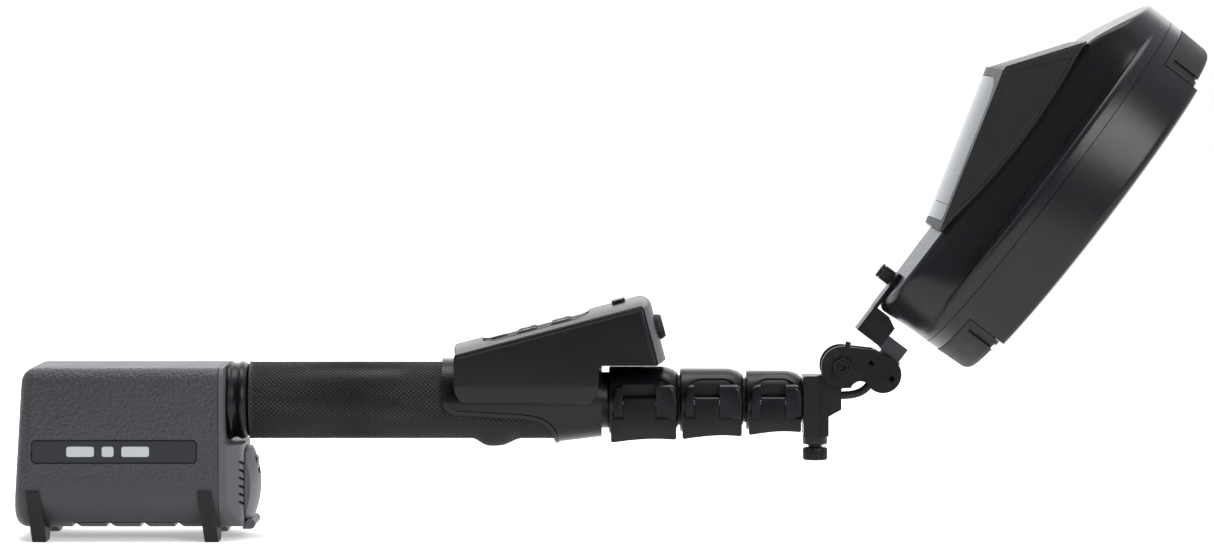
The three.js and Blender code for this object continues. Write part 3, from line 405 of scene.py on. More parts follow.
def add_node(tree, kind, settings=None, **inputs):
    node = tree.nodes.new(kind)
    for key, value in (settings or {}).items():
        setattr(node, key, value)
    for key, value in inputs.items():
        node.inputs[key.replace("_", " ")].default_value = value
    return node


def arithmetic(tree, operation, first, second):
    node = tree.nodes.new("ShaderNodeMath")
    node.operation = operation
    for socket, value in zip(node.inputs, (first, second)):
        if hasattr(value, "is_output"):
            tree.links.new(value, socket)
        else:
            socket.default_value = value
    return node.outputs[0]


# %% [markdown]
# ### Moulded grain
#
# A textured mould is etched, which leaves small pebbles with soft valleys between them. A Voronoi pattern
# gives the pebbles, and noise makes them uneven. The group hands out a height between 0 and 1, and each
# material decides with its Bump node how deep that is.

# %% Grain group
def grain_group():
    group, given, result = node_group("moulded_grain", {"Size": 0.001, "Unevenness": 0.5}, ["Height"])
    place = group.nodes.new("ShaderNodeTexCoord")
    scale = arithmetic(group, "DIVIDE", 1.0, given.outputs["Size"])
    cells = add_node(group, "ShaderNodeTexVoronoi", {"feature": "SMOOTH_F1"}, Smoothness=0.6)
    cloud = add_node(group, "ShaderNodeTexNoise", Detail=3.0, Roughness=0.6)
    for texture in (cells, cloud):
        group.links.new(place.outputs["Object"], texture.inputs["Vector"])
        group.links.new(scale, texture.inputs["Scale"])
    pebble = arithmetic(group, "SUBTRACT", 1.0, cells.outputs["Distance"])
    uneven = arithmetic(group, "MULTIPLY", cloud.outputs["Fac"], given.outputs["Unevenness"])
    group.links.new(arithmetic(group, "ADD", pebble, uneven), result.inputs["Height"])
    return group


# %% [markdown]
# ### Handling and painted shade
#
# Hands polish a tool on its corners and leave faint smears on its faces. Pointiness finds the corners, and
# cloudy noise breaks everything up, so that no wear looks drawn with a ruler. On the grip the same lighter
# corners are also painted shade: the knurl's peaks turn lighter and its grooves stay darker, standing in for
# the light and shade of the diamond pattern.

# %% Wear and painted shade group
def wear_and_painted_shade_group():
    group, given, result = node_group("wear_and_painted_shade", {"Wear and shade": 0.5, "Patch size": 0.03}, ["Edge", "Smear"])
    place = group.nodes.new("ShaderNodeTexCoord")
    shape = group.nodes.new("ShaderNodeNewGeometry")
    scale = arithmetic(group, "DIVIDE", 1.0, given.outputs["Patch size"])
    patches = add_node(group, "ShaderNodeTexNoise", Detail=4.0, Roughness=0.65)
    group.links.new(place.outputs["Object"], patches.inputs["Vector"])
    group.links.new(scale, patches.inputs["Scale"])
    corner = add_node(group, "ShaderNodeMapRange", From_Min=0.53, From_Max=0.62)
    group.links.new(shape.outputs["Pointiness"], corner.inputs["Value"])
    broken = arithmetic(group, "MULTIPLY", corner.outputs["Result"], patches.outputs["Fac"])
    worn_and_shaded = arithmetic(group, "MULTIPLY", broken, given.outputs["Wear and shade"])
    group.links.new(worn_and_shaded, result.inputs["Edge"])
    group.links.new(patches.outputs["Fac"], result.inputs["Smear"])
    return group


GRAIN = grain_group()
WEAR_AND_PAINTED_SHADE = wear_and_painted_shade_group()
print("shared groups:", GRAIN.name, WEAR_AND_PAINTED_SHADE.name)

# %% [markdown]
# ### One builder for the mouldings and the metals
#
# The Principled shader stays in the material itself. The groups only feed its colour, its roughness and
# its bump. A plain number that doesn't vary, such as the metal or the coat, is set on the shader.

# %% Material builder
def mixed_colour(tree, mask, first, second):
    mix = tree.nodes.new("ShaderNodeMix")
    mix.data_type = "RGBA"
    tree.links.new(mask, mix.inputs["Factor"])
    mix.inputs["A"].default_value = (*first, 1)
    mix.inputs["B"].default_value = (*second, 1)
    return mix.outputs["Result"]


def grained(name, colour, roughness, grain=0.0006, depth=0.00004, spread=0.12, wear_and_shade=0.5, lift=2.2,
            metal=0.0, uneven=0.5, coat=0.0, ior=1.33):
    material = bpy.data.materials.new(name)
    material.use_nodes = True
    tree = material.node_tree
    shader = tree.nodes["Principled BSDF"]
    shader.inputs["Metallic"].default_value = metal
    shader.inputs["Coat Weight"].default_value = coat
    shader.inputs["IOR"].default_value = ior
    wear_and_shade_node = tree.nodes.new("ShaderNodeGroup")
    wear_and_shade_node.node_tree = WEAR_AND_PAINTED_SHADE
    wear_and_shade_node.inputs["Wear and shade"].default_value = wear_and_shade
    pebbles = tree.nodes.new("ShaderNodeGroup")
    pebbles.node_tree = GRAIN
    pebbles.inputs["Size"].default_value = grain
    pebbles.inputs["Unevenness"].default_value = uneven
    # Lighter corners: worn polish on most finishes; on the grip they are also painted shade, keeping the
    # knurl's grooves darker than its peaks.
    lighter = [min(1.0, part * lift + 0.004) for part in colour]
    tree.links.new(mixed_colour(tree, wear_and_shade_node.outputs["Edge"], colour, lighter), shader.inputs["Base Color"])
    rough = add_node(tree, "ShaderNodeMapRange", To_Min=roughness - spread, To_Max=roughness + spread,
                     From_Min=0.25, From_Max=0.75)
    tree.links.new(wear_and_shade_node.outputs["Smear"], rough.inputs["Value"])
    tree.links.new(rough.outputs["Result"], shader.inputs["Roughness"])
    bump = add_node(tree, "ShaderNodeBump", Strength=1.0, Distance=depth)
    tree.links.new(pebbles.outputs["Height"], bump.inputs["Height"])
    tree.links.new(bump.outputs["Normal"], shader.inputs["Normal"])
    return material


def nodes_of(material):
    tree = material.node_tree
    bump = next(n for n in tree.nodes if n.type == "BUMP")
    return tree, tree.nodes["Principled BSDF"], bump


# %% [markdown]
# ### The casing's leather texture
#
# On the casing the coarse texture stops at the start of the round underside, and below that the moulding is
# smooth. The grain's height is therefore multiplied by a mask that falls off with height.

# %% Casing material
def casing_material():
    material = grained("leather_textured_casing", (0.04, 0.0415, 0.045), 0.38, grain=0.0016, depth=0.00045,
                       spread=0.06, wear_and_shade=0.8, uneven=1.0)
    tree, _, bump = nodes_of(material)
    place = tree.nodes.new("ShaderNodeTexCoord")
    parts = tree.nodes.new("ShaderNodeSeparateXYZ")
    tree.links.new(place.outputs["Object"], parts.inputs["Vector"])
    edge = axis_z - 0.042
    fade = add_node(tree, "ShaderNodeMapRange", From_Min=edge - 0.004, From_Max=edge + 0.004)
    tree.links.new(parts.outputs["Z"], fade.inputs["Value"])
    height = bump.inputs["Height"].links[0].from_socket
    tree.links.new(arithmetic(tree, "MULTIPLY", height, fade.outputs["Result"]), bump.inputs["Height"])
    return material


CASING = casing_material()
SATIN = grained("satin_plastic", (0.003, 0.0034, 0.0046), 0.31, grain=0.0007, depth=0.00003, spread=0.06)
# Painted light: cap and door are a lighter grey than the casing, standing in for the light their front faces
# catch.
CAP_PLASTIC_PAINTED_LIGHT = grained("fine_grained_plastic_painted_light", (0.075, 0.077, 0.082), 0.45, grain=0.0005, depth=0.00004,
                      spread=0.04)
HEAD_SKIN = grained("head_plastic", (0.009, 0.0096, 0.011), 0.28, grain=0.0005, depth=0.000018, spread=0.03,
                    wear_and_shade=0.15)
DISPLAY_SKIN = grained("display_plastic", (0.009, 0.0093, 0.01), 0.45, grain=0.0008, depth=0.00004,
                       spread=0.05)
RUBBER = grained("black_rubber", (0.009, 0.0093, 0.01), 0.55, grain=0.0009, depth=0.00004, wear_and_shade=0.3)
# Wear and painted shade: the strong wear and lift lighten the knurl's peaks, so its grooves stay darker,
# standing in for the pattern's light and shade.
GRIP_RUBBER_WEAR_AND_PAINTED_SHADE = grained("grip_rubber_wear_and_painted_shade", (0.005, 0.0054, 0.0065), 0.4, grain=0.0006, depth=0.00002, wear_and_shade=1.0,
                      lift=3)
KEY_RUBBER = grained("key_rubber", (0.03, 0.031, 0.034), 0.55, grain=0.0005, depth=0.00002)
ANODISED = grained("black_anodised", (0.005, 0.0054, 0.0062), 0.34, grain=0.0004, depth=0.00001, metal=0.2,
                   wear_and_shade=0.3, lift=5)
BLACK_PIN = grained("blackened_pin", (0.0008, 0.0008, 0.0009), 0.8, grain=0.0005, depth=0.00001, wear_and_shade=0.0,
                    lift=1.0, ior=1.1)
STEEL = grained("machined_steel", (0.32, 0.33, 0.34), 0.32, grain=0.0004, depth=0.000008, metal=1.0,
                wear_and_shade=0.2, lift=1.3)
FLANGE_STEEL = grained("oiled_steel", (0.045, 0.046, 0.05), 0.4, grain=0.0004, depth=0.00001, metal=0.8,
                       lift=2)
BADGE = grained("badge_plate", (0.02, 0.021, 0.0235), 0.34, grain=0.0006, depth=0.00002, spread=0.05)
BADGE_PAINT = grained("badge_paint", (0.42, 0.44, 0.46), 0.45, grain=0.0006, depth=0.00001, wear_and_shade=0.1,
                      lift=1.1)
KEY_PAINT = grained("key_print", (0.5, 0.51, 0.52), 0.5, grain=0.0006, depth=0.00001, wear_and_shade=0.1, lift=1.1)
OVERLAY = grained("keypad_overlay", (0.006, 0.0063, 0.007), 0.62, grain=0.0005, depth=0.00003, spread=0.06)
SCREEN = grained("display_window", (0.006, 0.0064, 0.007), 0.07, grain=0.0006, depth=0.000002, spread=0.04,
                 coat=0.6)
BUSH = grained("white_bush", (0.7, 0.7, 0.67), 0.4, wear_and_shade=0.2, lift=1.1)
LEAD = grained("lead_braid", (0.012, 0.0123, 0.013), 0.55, grain=0.0005, depth=0.00005, wear_and_shade=0.3)
print("finishes:", len(bpy.data.materials))

# %% [markdown]
# ### Inner pieces
#
# The boards, cells and antenna plate are hidden, but they are still parts, so they get a finish with a
# little structure: copper tracks on the boards, a coated wrap on the cells and fine-grained copper.

# %% Inner materials
def circuit_material():
    lacquer, second_lacquer, track = (0.012, 0.09, 0.045), (0.02, 0.12, 0.06), (0.35, 0.2, 0.06)
    material = grained("circuit_board", lacquer, 0.35, grain=0.002, depth=0.00003, wear_and_shade=0.2, lift=1.3)
    tree, shader, _ = nodes_of(material)
    place = tree.nodes.new("ShaderNodeTexCoord")
    tracks = add_node(tree, "ShaderNodeTexBrick", Scale=260.0, Mortar_Size=0.06)
    for socket, colour in {"Color1": lacquer, "Color2": second_lacquer, "Mortar": track}.items():
        tracks.inputs[socket].default_value = (*colour, 1)
    tree.links.new(place.outputs["Object"], tracks.inputs["Vector"])
    tree.links.new(tracks.outputs["Color"], shader.inputs["Base Color"])
    return material


CIRCUIT = circuit_material()
CELL_WRAP = grained("cell_wrap", (0.03, 0.06, 0.14), 0.25, grain=0.004, depth=0.0001, coat=0.3)
COPPER = grained("antenna_copper", (0.55, 0.26, 0.12), 0.3, grain=0.0008, depth=0.00002, metal=1.0, lift=1.3)

for node, material in {
    "battery_pack": CELL_WRAP, "main_board": CIRCUIT, "console_board": CIRCUIT, "head_board": CIRCUIT,
    "antenna_plate": COPPER, "lcd_panel": SCREEN, "slide_bush_2": BUSH, "slide_bush_3": BUSH,
    "slide_bush_4": BUSH, "door_pin": STEEL, "lever_pin_1": STEEL, "lever_pin_2": STEEL, "lever_pin_3": STEEL,
    "cross_pin_lower": BLACK_PIN, "cross_pin_upper": BLACK_PIN,
}.items():
    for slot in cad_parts[node].material_slots:
        slot.material = material
print("carried-over CAD nodes keep their shape and get a finish")

# %% [markdown]
# # The rear housing
#
# The casing is one deep moulding: a block whose long lower edges are very round and whose rear wall leans.
# It starts as a cube. The long edges are bevelled first and the rear rim after them, so that the corners
# flow into each other as they do in a mould, and a shear gives the lean.

# %% Casing
shell_low, shell_high = span("housing_shell")
CASING_LENGTH = shell_high.x
CASING_HALF = shell_high.y
CASING_TOP = shell_high.z
CASING_BOTTOM = shell_low.z
BOTTOM_ROUND = 19
TOP_ROUND = 9
REAR_ROUND = 7
REAR_LEAN = 5
CASING_WALL = 2.5
VENT_FIRST, VENT_PITCH, VENT_DEEP, VENTS = 32, 17.5, 2.7, 4
GAP = 0.3


def edges_where(made, test):
    return [e for e in made.edges if all(test(v.co) for v in e.verts)]


def round_edges(made, edges, radius, segments):
    bmesh.ops.bevel(
        made, geom=edges, offset=radius, offset_type="OFFSET", segments=segments, profile=0.5,
        affect="EDGES", material=-1,
    )
    return made


def along_x(edge):
    a, b = (v.co for v in edge.verts)
    return abs(a.x - b.x) > 1 and abs(a.z - b.z) < 0.1


def casing_solid(inset, front):
    low, high = CASING_BOTTOM + inset, CASING_TOP - inset
    half = CASING_HALF - inset
    made = block(inset, front, -half, half, low, high)
    lower = [e for e in edges_where(made, lambda co: co.z < low + 1) if along_x(e)]
    round_edges(made, lower, BOTTOM_ROUND - inset, 14)
    upper = [e for e in edges_where(made, lambda co: co.z > high - 1) if along_x(e)]
    round_edges(made, upper, TOP_ROUND - inset, 8)
    round_edges(made, edges_where(made, lambda co: co.x < inset + 0.01), REAR_ROUND - inset, 7)
    for v in made.verts:
        height = (v.co.z - CASING_BOTTOM) / (CASING_TOP - CASING_BOTTOM)
        v.co.x += REAR_LEAN * height * max(0.0, 1 - v.co.x / CASING_LENGTH)
    return outward(made)


def vent_groove(x):
    foot = CASING_BOTTOM
    floor = foot + VENT_DEEP
    profile = [(x - 2.6, foot - 2), (x - 2.6, floor), (x - 0.4, floor), (x + 3.8, foot - 2)]
    return prism(profile, "XZ", -30, 30)


badge_low, badge_high = span("badge_plate")
BADGE_THICK, BADGE_SUNK, BADGE_MARGIN = 0.8, 1.2, 0.6
casing = cut(casing_solid(0, CASING_LENGTH), casing_solid(CASING_WALL, CASING_LENGTH + 5))
recess = rectangle(badge_low.x - BADGE_MARGIN, badge_high.x + BADGE_MARGIN,
                   badge_low.z - BADGE_MARGIN, badge_high.z + BADGE_MARGIN)
casing = cut(casing, prism(recess, "XZ", -CASING_HALF - 2, -CASING_HALF + BADGE_SUNK, all_round(2.4)))
casing = cut(casing, *[vent_groove(VENT_FIRST + VENT_PITCH * i) for i in range(VENTS)])
piece("casing", casing, pole_frame, "base", CASING, "housing_shell", edge=0.5, segments=2)

# %% [markdown]
# ## The badge
#
# A plate lies in a shallow recess on the near side. It carries plain bars in place of a name.

# %% Badge plate and bars
plate_outline = rectangle(badge_low.x, badge_high.x, badge_low.z, badge_high.z)
plate = prism(plate_outline, "XZ", -CASING_HALF, -CASING_HALF + BADGE_THICK, all_round(1.8))
piece("badge", plate, pole_frame, "base", BADGE, "badge_plate", edge=0.25, segments=2)
badge_middle = (badge_low.z + badge_high.z) / 2
BADGE_BARS = [(28, 14), (46, 6), (56, 14)]
BAR_HALF, BAR_PROUD = 2.6, 0.12
for i, (start, length) in enumerate(BADGE_BARS):
    bar = rectangle(start, start + length, badge_middle - BAR_HALF, badge_middle + BAR_HALF)
    bar = prism(bar, "XZ", -CASING_HALF - BAR_PROUD, -CASING_HALF + 0.2, all_round(1.2))
    piece(f"badge_bar_{i + 1}", bar, pole_frame, "base", BADGE_PAINT)

# %% [markdown]
# ## The front cap and its door
#
# The cap closes the casing. Below the collar it is a deep frame whose sides draw in, and behind the collar
# it is only a thin plate. The door bulges like a cushion: a rounded prism kept only where it lies inside an
# ellipsoid. Six short slanted slots let heat out along the line where the two meet. Cap and door are
# painted a lighter grey than the casing, as painted light for the light their front faces catch.

# %% Front cap
CAP_REAR = span("front_cap")[0].x
door_low, door_high = span("battery_door")
CAP_FRONT = door_low.x - GAP
CAP_SHOULDER = -21
CAP_NOSE_HALF = 28
HEAT_SLOTS, HEAT_SLOT_TOP, HEAT_SLOT_PITCH = 6, -31.5, 4.1
DOOR_HALF = door_high.y
TUBE_HOLE = span("handle_tube")[1].y + GAP


def cap_solid():
    whole = casing_solid(0, CAP_FRONT + 20)
    plan = [
        (CAP_REAR, -CASING_HALF - 2), (CAP_REAR, CASING_HALF + 2), (CAP_REAR + 2, CASING_HALF + 2),
        (CAP_FRONT, CAP_NOSE_HALF), (CAP_FRONT, -CAP_NOSE_HALF), (CAP_REAR + 2, -CASING_HALF - 2),
    ]
    made = common(whole, prism(plan, "XY", CASING_BOTTOM - 1, CASING_TOP + 1, {3: 4, 4: 4}))
    notch = prism(
        rectangle(CAP_REAR + 2.2, CAP_FRONT + 9, CAP_SHOULDER, CASING_TOP + 5), "XZ", -50, 50, {0: 3},
    )
    opening = prism(rectangle(-18, 18, -56, -30), "YZ", CAP_REAR - 2, CAP_FRONT + 2, all_round(5))
    made = cut(made, notch, opening, rod(CAP_REAR - 2, CAP_FRONT + 2, TUBE_HOLE))
    for i in range(HEAT_SLOTS):
        slot = turned(block(-3.2, 3.2, -34, -20, -0.55, 0.55), "Y", 42)
        made = cut(made, shifted(slot, CAP_FRONT + 0.4, 0, HEAT_SLOT_TOP - HEAT_SLOT_PITCH * i))
    return made


hinge_low, hinge_high = span("door_pin")
HINGE_X = (hinge_low.x + hinge_high.x) / 2
HINGE_Z = (hinge_low.z + hinge_high.z) / 2
LUG_FROM, LUG_TO, LUG_RADIUS = 12.7, 18.5, 2.6


def hinge_lug(side):
    inner, outer = sorted((LUG_FROM * side, LUG_TO * side))
    barrel = rod_y(inner, outer, LUG_RADIUS, HINGE_X, HINGE_Z, 32)
    foot = block(CAP_FRONT - 1, HINGE_X, inner, outer, HINGE_Z - LUG_RADIUS, HINGE_Z - 0.3)
    return joined(barrel, foot)


cap = joined(cap_solid(), hinge_lug(1), hinge_lug(-1))
piece("front_frame", cap, pole_frame, "base", CAP_PLASTIC_PAINTED_LIGHT, "front_cap", edge=0.45, segments=2)


# %% Battery door and catch
def cushion_solid(x, middle_z, reach, half_y, half_z):
    made = bmesh.new()
    bmesh.ops.create_uvsphere(made, u_segments=96, v_segments=48, radius=1)
    bmesh.ops.scale(made, vec=(reach, half_y, half_z), verts=made.verts)
    return shifted(made, x, 0, middle_z)


DOOR_BULGE = door_high.x - door_low.x
DOOR_BOTTOM, DOOR_TOP, DOOR_MIDDLE = -60.5, -24.2, -42.5
CUSHION_REACH, CUSHION_ACROSS, CUSHION_UP = 30, 46, 37
KNUCKLE_HALF = 12.4
door = prism(rectangle(-DOOR_HALF, DOOR_HALF, DOOR_BOTTOM, DOOR_TOP), "YZ", door_low.x, door_low.x + 20,
             all_round(9))
cushion_x = door_low.x + DOOR_BULGE + 0.6 - CUSHION_REACH
door = common(door, cushion_solid(cushion_x, DOOR_MIDDLE, CUSHION_REACH, CUSHION_ACROSS, CUSHION_UP))
for y0, y1 in ((-30, -KNUCKLE_HALF), (KNUCKLE_HALF, 30)):
    door = cut(door, rod_y(y0, y1, 3, HINGE_X, HINGE_Z, 32))
door = joined(door, rod_y(-12.3, 12.3, 2.5, HINGE_X, HINGE_Z, 32))
latch_low, latch_high = span("door_latch")
pocket = rectangle(-7.4, 7.4, latch_low.z - 2.9, latch_high.z + 0.4)
door = cut(door, prism(pocket, "YZ", latch_low.x - 0.35, latch_low.x + 12, all_round(1)))
piece("door", door, pole_frame, "battery_door", CAP_PLASTIC_PAINTED_LIGHT, "battery_door", edge=0.6, segments=3)

catch = block(latch_low.x, latch_high.x, latch_low.y, latch_high.y, latch_low.z, latch_high.z)
for i in range(3):
    low = latch_low.z + 1.2 + 1.6 * i
    groove = prism(rectangle(-5.5, 5.5, low, low + 0.6), "YZ", latch_high.x - 0.4, latch_high.x + 1)
    catch = cut(catch, groove)
piece("door_catch", catch, pole_frame, "door_latch", SATIN, "door_latch", edge=0.25, segments=2)

# %% [markdown]
# ## The feet
#
# Two rubber ribs straddle the underside. Seen from the end, a rib is a U whose inside follows the casing,
# with a pad under each leg and a shallow arch between them, and it leans forward towards the ground.

# %% Feet
FOOT_PROUD = 1.6
FOOT_TOP = -44
FOOT_GROUND = -axis_z / MM
FOOT_LEAN = 0.15
FOOT_THICK = 7.3
PAD = 16
ARCH_HALF, ARCH_RISE = 12, 4.6


def foot_rib(x):
    outer, inner = CASING_HALF + FOOT_PROUD, CASING_HALF + GAP
    under = CASING_BOTTOM - GAP
    profile = [
        (-outer, FOOT_GROUND), (-outer + PAD, FOOT_GROUND), (-ARCH_HALF, FOOT_GROUND + ARCH_RISE),
        (ARCH_HALF, FOOT_GROUND + ARCH_RISE),
        (outer - PAD, FOOT_GROUND), (outer, FOOT_GROUND), (outer, FOOT_TOP), (inner, FOOT_TOP),
        (inner, under), (-inner, under), (-inner, FOOT_TOP), (-outer, FOOT_TOP),
    ]
    made = prism(profile, "YZ", x, x + FOOT_THICK, {8: BOTTOM_ROUND + GAP, 9: BOTTOM_ROUND + GAP}, 14)
    for v in made.verts:
        v.co.x -= FOOT_LEAN * (v.co.z - FOOT_TOP)
    return made


for name in ("rear_foot", "front_foot"):
    start = span(name)[0].x
    piece(f"{name}_rib", foot_rib(start), pole_frame, "base", RUBBER, name, edge=0.6, segments=3)

# %% [markdown]
# # Collar and grip
#
# The collar is turned, so a profile spun round the pole is enough: a flange, a waist and a nose. The grip is
# turned too, and its diamond knurl is real geometry. Its long edge is cut into short steps before the spin,
# so that the sleeve becomes a fine net, and every point of the net then moves in or out.

# %% Collar
collar_low, collar_high = span("neck_collar")
grip_low, grip_high = span("grip_sleeve")
COLLAR_FROM, COLLAR_TO = collar_low.x, collar_high.x
COLLAR_RADIUS = collar_high.y
collar = spun([
    (COLLAR_FROM, TUBE_HOLE), (COLLAR_FROM, COLLAR_RADIUS), (COLLAR_FROM + 1.8, COLLAR_RADIUS),
    (COLLAR_FROM + 2.8, COLLAR_RADIUS - 1), (COLLAR_FROM + 5.4, COLLAR_RADIUS - 1.2),
    (COLLAR_FROM + 6.6, COLLAR_RADIUS - 0.3), (COLLAR_FROM + 8, COLLAR_RADIUS - 0.3),
    (COLLAR_TO, COLLAR_RADIUS - 1.8), (COLLAR_TO, TUBE_HOLE),
], 128, {1: 0.5, 2: 0.5, 3: 0.6, 4: 1, 5: 0.5, 6: 0.6, 7: 0.6})
piece("collar", collar, pole_frame, "base", SATIN, "neck_collar")

# %% Knurled grip
GRIP_FROM, GRIP_TO = grip_low.x, grip_high.x
GRIP_RADIUS = grip_high.y
KNURL_ALONG = 2.5
KNURL_AROUND = 54
KNURL_DEPTH = 0.8
BUMP_MIDDLE = GRIP_TO - 33
BUMP_REAR, BUMP_FRONT = 11, 15
BUMP_SPREAD = 1.1  # how far round the grip the bump reaches, in radians
BUMP_HEIGHT = -GRIP_RADIUS - grip_low.z


def triangle_wave(t):
    return abs(2 * (t % 1) - 1)


def bump_at(x, angle_from_below):
    """How far the finger bump stands out under the grip."""
    along = (x - BUMP_MIDDLE) / (BUMP_REAR if x < BUMP_MIDDLE else BUMP_FRONT)
    if abs(along) >= 1 or abs(angle_from_below) > BUMP_SPREAD:
        return 0
    rise = 0.5 + 0.5 * math.cos(math.pi * abs(along) ** 1.4)
    round_it = math.cos(angle_from_below / BUMP_SPREAD * math.pi / 2) ** 0.7
    return (BUMP_HEIGHT + KNURL_DEPTH) * rise * round_it


def knurled_sleeve():
    made = outline(
        [(GRIP_FROM, TUBE_HOLE), (GRIP_FROM, GRIP_RADIUS), (GRIP_TO, GRIP_RADIUS), (GRIP_TO, TUBE_HOLE)],
        {1: 1, 2: 1}, 3,
    )
    outer = [e for e in made.edges if all(v.co.y > GRIP_RADIUS - 0.01 for v in e.verts)]
    rows = 4 * round((GRIP_TO - GRIP_FROM) / KNURL_ALONG)
    bmesh.ops.subdivide_edges(made, edges=outer, cuts=rows - 1)
    made = revolved(made, 4 * KNURL_AROUND)
    for v in made.verts:
        radius = math.hypot(v.co.y, v.co.z)
        if radius < GRIP_RADIUS - 0.05:
            continue
        angle = math.atan2(v.co.y, -v.co.z)
        u = (v.co.x - GRIP_FROM) / KNURL_ALONG
        w = angle / (2 * math.pi) * KNURL_AROUND
        peak = min(triangle_wave(u + w), triangle_wave(u - w))
        fade = min(1, (v.co.x - GRIP_FROM) / 2.5, (GRIP_TO - v.co.x) / 2.5)
        moved = radius - KNURL_DEPTH * (1 - peak) * fade + bump_at(v.co.x, angle)
        v.co.y *= moved / radius
        v.co.z *= moved / radius
    return made


# The grip's rubber paints its knurl grooves darker than the peaks, as painted shade.
piece("knurled_grip", knurled_sleeve(), pole_frame, "base", GRIP_RUBBER_WEAR_AND_PAINTED_SHADE, "grip_sleeve", sharp=15)

# %% [markdown]
# # The console
#
# The console is a wedge whose lid and front bulge a little. A flat wedge is sliced across its width, and
# each slice's lid and front are pushed out by an amount that is largest in the middle. A bead runs along the
# edges of the lid and catches the light.

# %% Wedge
console_low, console_high = span("console_shell")
CONSOLE_REAR = console_low.x
CONSOLE_HALF = console_high.y
CONSOLE_LENGTH = 96.6
LID_REAR, LID_FRONT = 24.5, 50
BLEND_LOW, CHIN = -3, 19
BLEND_ROUND = 12
FRONT_SLANT = 8.3
OVERHANG = 31
CROWN = 4.1
LID_SLOPE = math.atan2(LID_FRONT - LID_REAR, CONSOLE_LENGTH)
FRONT_TILT = math.atan2(FRONT_SLANT, LID_FRONT - CHIN)
lid_frame = Matrix.Translation((CONSOLE_REAR, 0, LID_REAR)) @ Matrix.Rotation(-LID_SLOPE, 4, "Y")
front_frame = Matrix.Translation((CONSOLE_REAR + CONSOLE_LENGTH + FRONT_SLANT, 0, CHIN))
front_frame = front_frame @ Matrix.Rotation(-FRONT_TILT, 4, "Y")


def onto(made, matrix):
    bmesh.ops.transform(made, matrix=matrix, verts=made.verts)
    return made


def console_outline(inset):
    nose = CONSOLE_REAR + CONSOLE_LENGTH
    low = BLEND_LOW - 2 if inset else BLEND_LOW
    return [
        (CONSOLE_REAR + inset, low), (nose + FRONT_SLANT - OVERHANG - inset, low),
        (nose + FRONT_SLANT - OVERHANG - inset, CHIN + inset), (nose + FRONT_SLANT - inset, CHIN + inset),
        (nose - inset, LID_FRONT - inset), (CONSOLE_REAR + inset, LID_REAR - inset),
    ]


def crowned_wedge(slices=18):
    made = prism(console_outline(0), "XZ", -CONSOLE_HALF, CONSOLE_HALF, {2: 2.5, 3: 1.6, 4: 1.8, 5: 1.6}, 4)
    lower = edges_where(made, lambda co: co.z < BLEND_LOW + 0.01 and abs(co.y) > CONSOLE_HALF - 0.01)
    round_edges(made, lower, BLEND_ROUND, 12)
    for i in range(1, slices):
        bmesh.ops.bisect_plane(
            made, geom=made.verts[:] + made.edges[:] + made.faces[:], dist=1e-5,
            plane_co=(0, -CONSOLE_HALF + 2 * CONSOLE_HALF * i / slices, 0), plane_no=(0, 1, 0),
        )
    made.normal_update()
    for v in made.verts:
        facing = Vector((v.normal.x, 0, v.normal.z))
        if facing.length < 0.1 or abs(v.co.y) > CONSOLE_HALF - 0.1:
            continue
        angle = math.degrees(math.atan2(facing.z, facing.x))
        share = min(1, max(0, (angle + 30) / 40)) * min(1, max(0, (150 - angle) / 40))
        v.co += facing.normalized() * CROWN * share * (1 - (v.co.y / CONSOLE_HALF) ** 2)
    return made


def panel_prism(margin, low, high):
    outer = rectangle(-28 - margin, 28 + margin, -21 - margin, 21 + margin)
    return shifted(prism(outer, "XY", low, high, all_round(8 + margin), 8), KEYPAD_MIDDLE)


def key_prism(name, margin, low, high):
    """A key's block in the lid's frame. Its middle comes from the CAD node of the same name."""
    length, width = (9, 9) if name == "key_power" else (10, 14)
    x, y = length / 2 + margin, width / 2 + margin
    made = prism(rectangle(-x, x, -y, y), "XY", low, high, all_round(3 + margin), 6)
    middle = lid_frame.inverted() @ (sum(span(name), Vector()) / 2)
    return shifted(made, middle.x, middle.y)


KEYPAD_MIDDLE = 16 + 28
PANEL_TOP = CROWN * 0.35 + GAP
KEY_TOP = PANEL_TOP + 1
KEYS = ["key_power", "key_down", "key_up", "key_mute", "key_menu"]
PLUG_RADIUS = 6.6
PLUG_ALONG = 18.2
plug_frame = front_frame @ Matrix.Translation((0, 0, PLUG_ALONG))
saddle_hole = GRIP_RADIUS + 1.8

wedge = crowned_wedge()
for side in (-1, 1):
    bead_y = side * (CONSOLE_HALF - 0.7)
    bead = shifted(rod(0.5, CONSOLE_LENGTH / math.cos(LID_SLOPE) - 1.5, 1.4, 24, 0.9), 0, bead_y, -1.5)
    down_length = (LID_FRONT - CHIN) / math.cos(FRONT_TILT) - 0.8
    down = shifted(rod_z(1.5, down_length, 1.3, -1.6, 0, 24, 0.9), 0, bead_y)
    wedge = joined(wedge, onto(bead, lid_frame), onto(down, front_frame))
inside = prism(console_outline(2.2), "XZ", 2.2 - CONSOLE_HALF, CONSOLE_HALF - 2.2)
lower = edges_where(inside, lambda co: co.z < BLEND_LOW - 1.9 and abs(co.y) > CONSOLE_HALF - 2.3)
round_edges(inside, lower, BLEND_ROUND, 12)
wedge = cut(wedge, inside, rod(CONSOLE_REAR - 2, CONSOLE_REAR + CONSOLE_LENGTH, saddle_hole, 96))
recess_low = CROWN * 0.35 - 1.4
wedge = cut(wedge, onto(panel_prism(GAP, recess_low, CROWN + 2), lid_frame))
for name in KEYS:
    wedge = cut(wedge, onto(key_prism(name, GAP, -8, CROWN + 1), lid_frame))
wedge = cut(wedge, onto(rod(-8, CROWN + 5, PLUG_RADIUS + GAP, 64), plug_frame))
rib = prism(rectangle(0, 7, -9, 9), "XY", 3.2, 5.2, all_round(2))
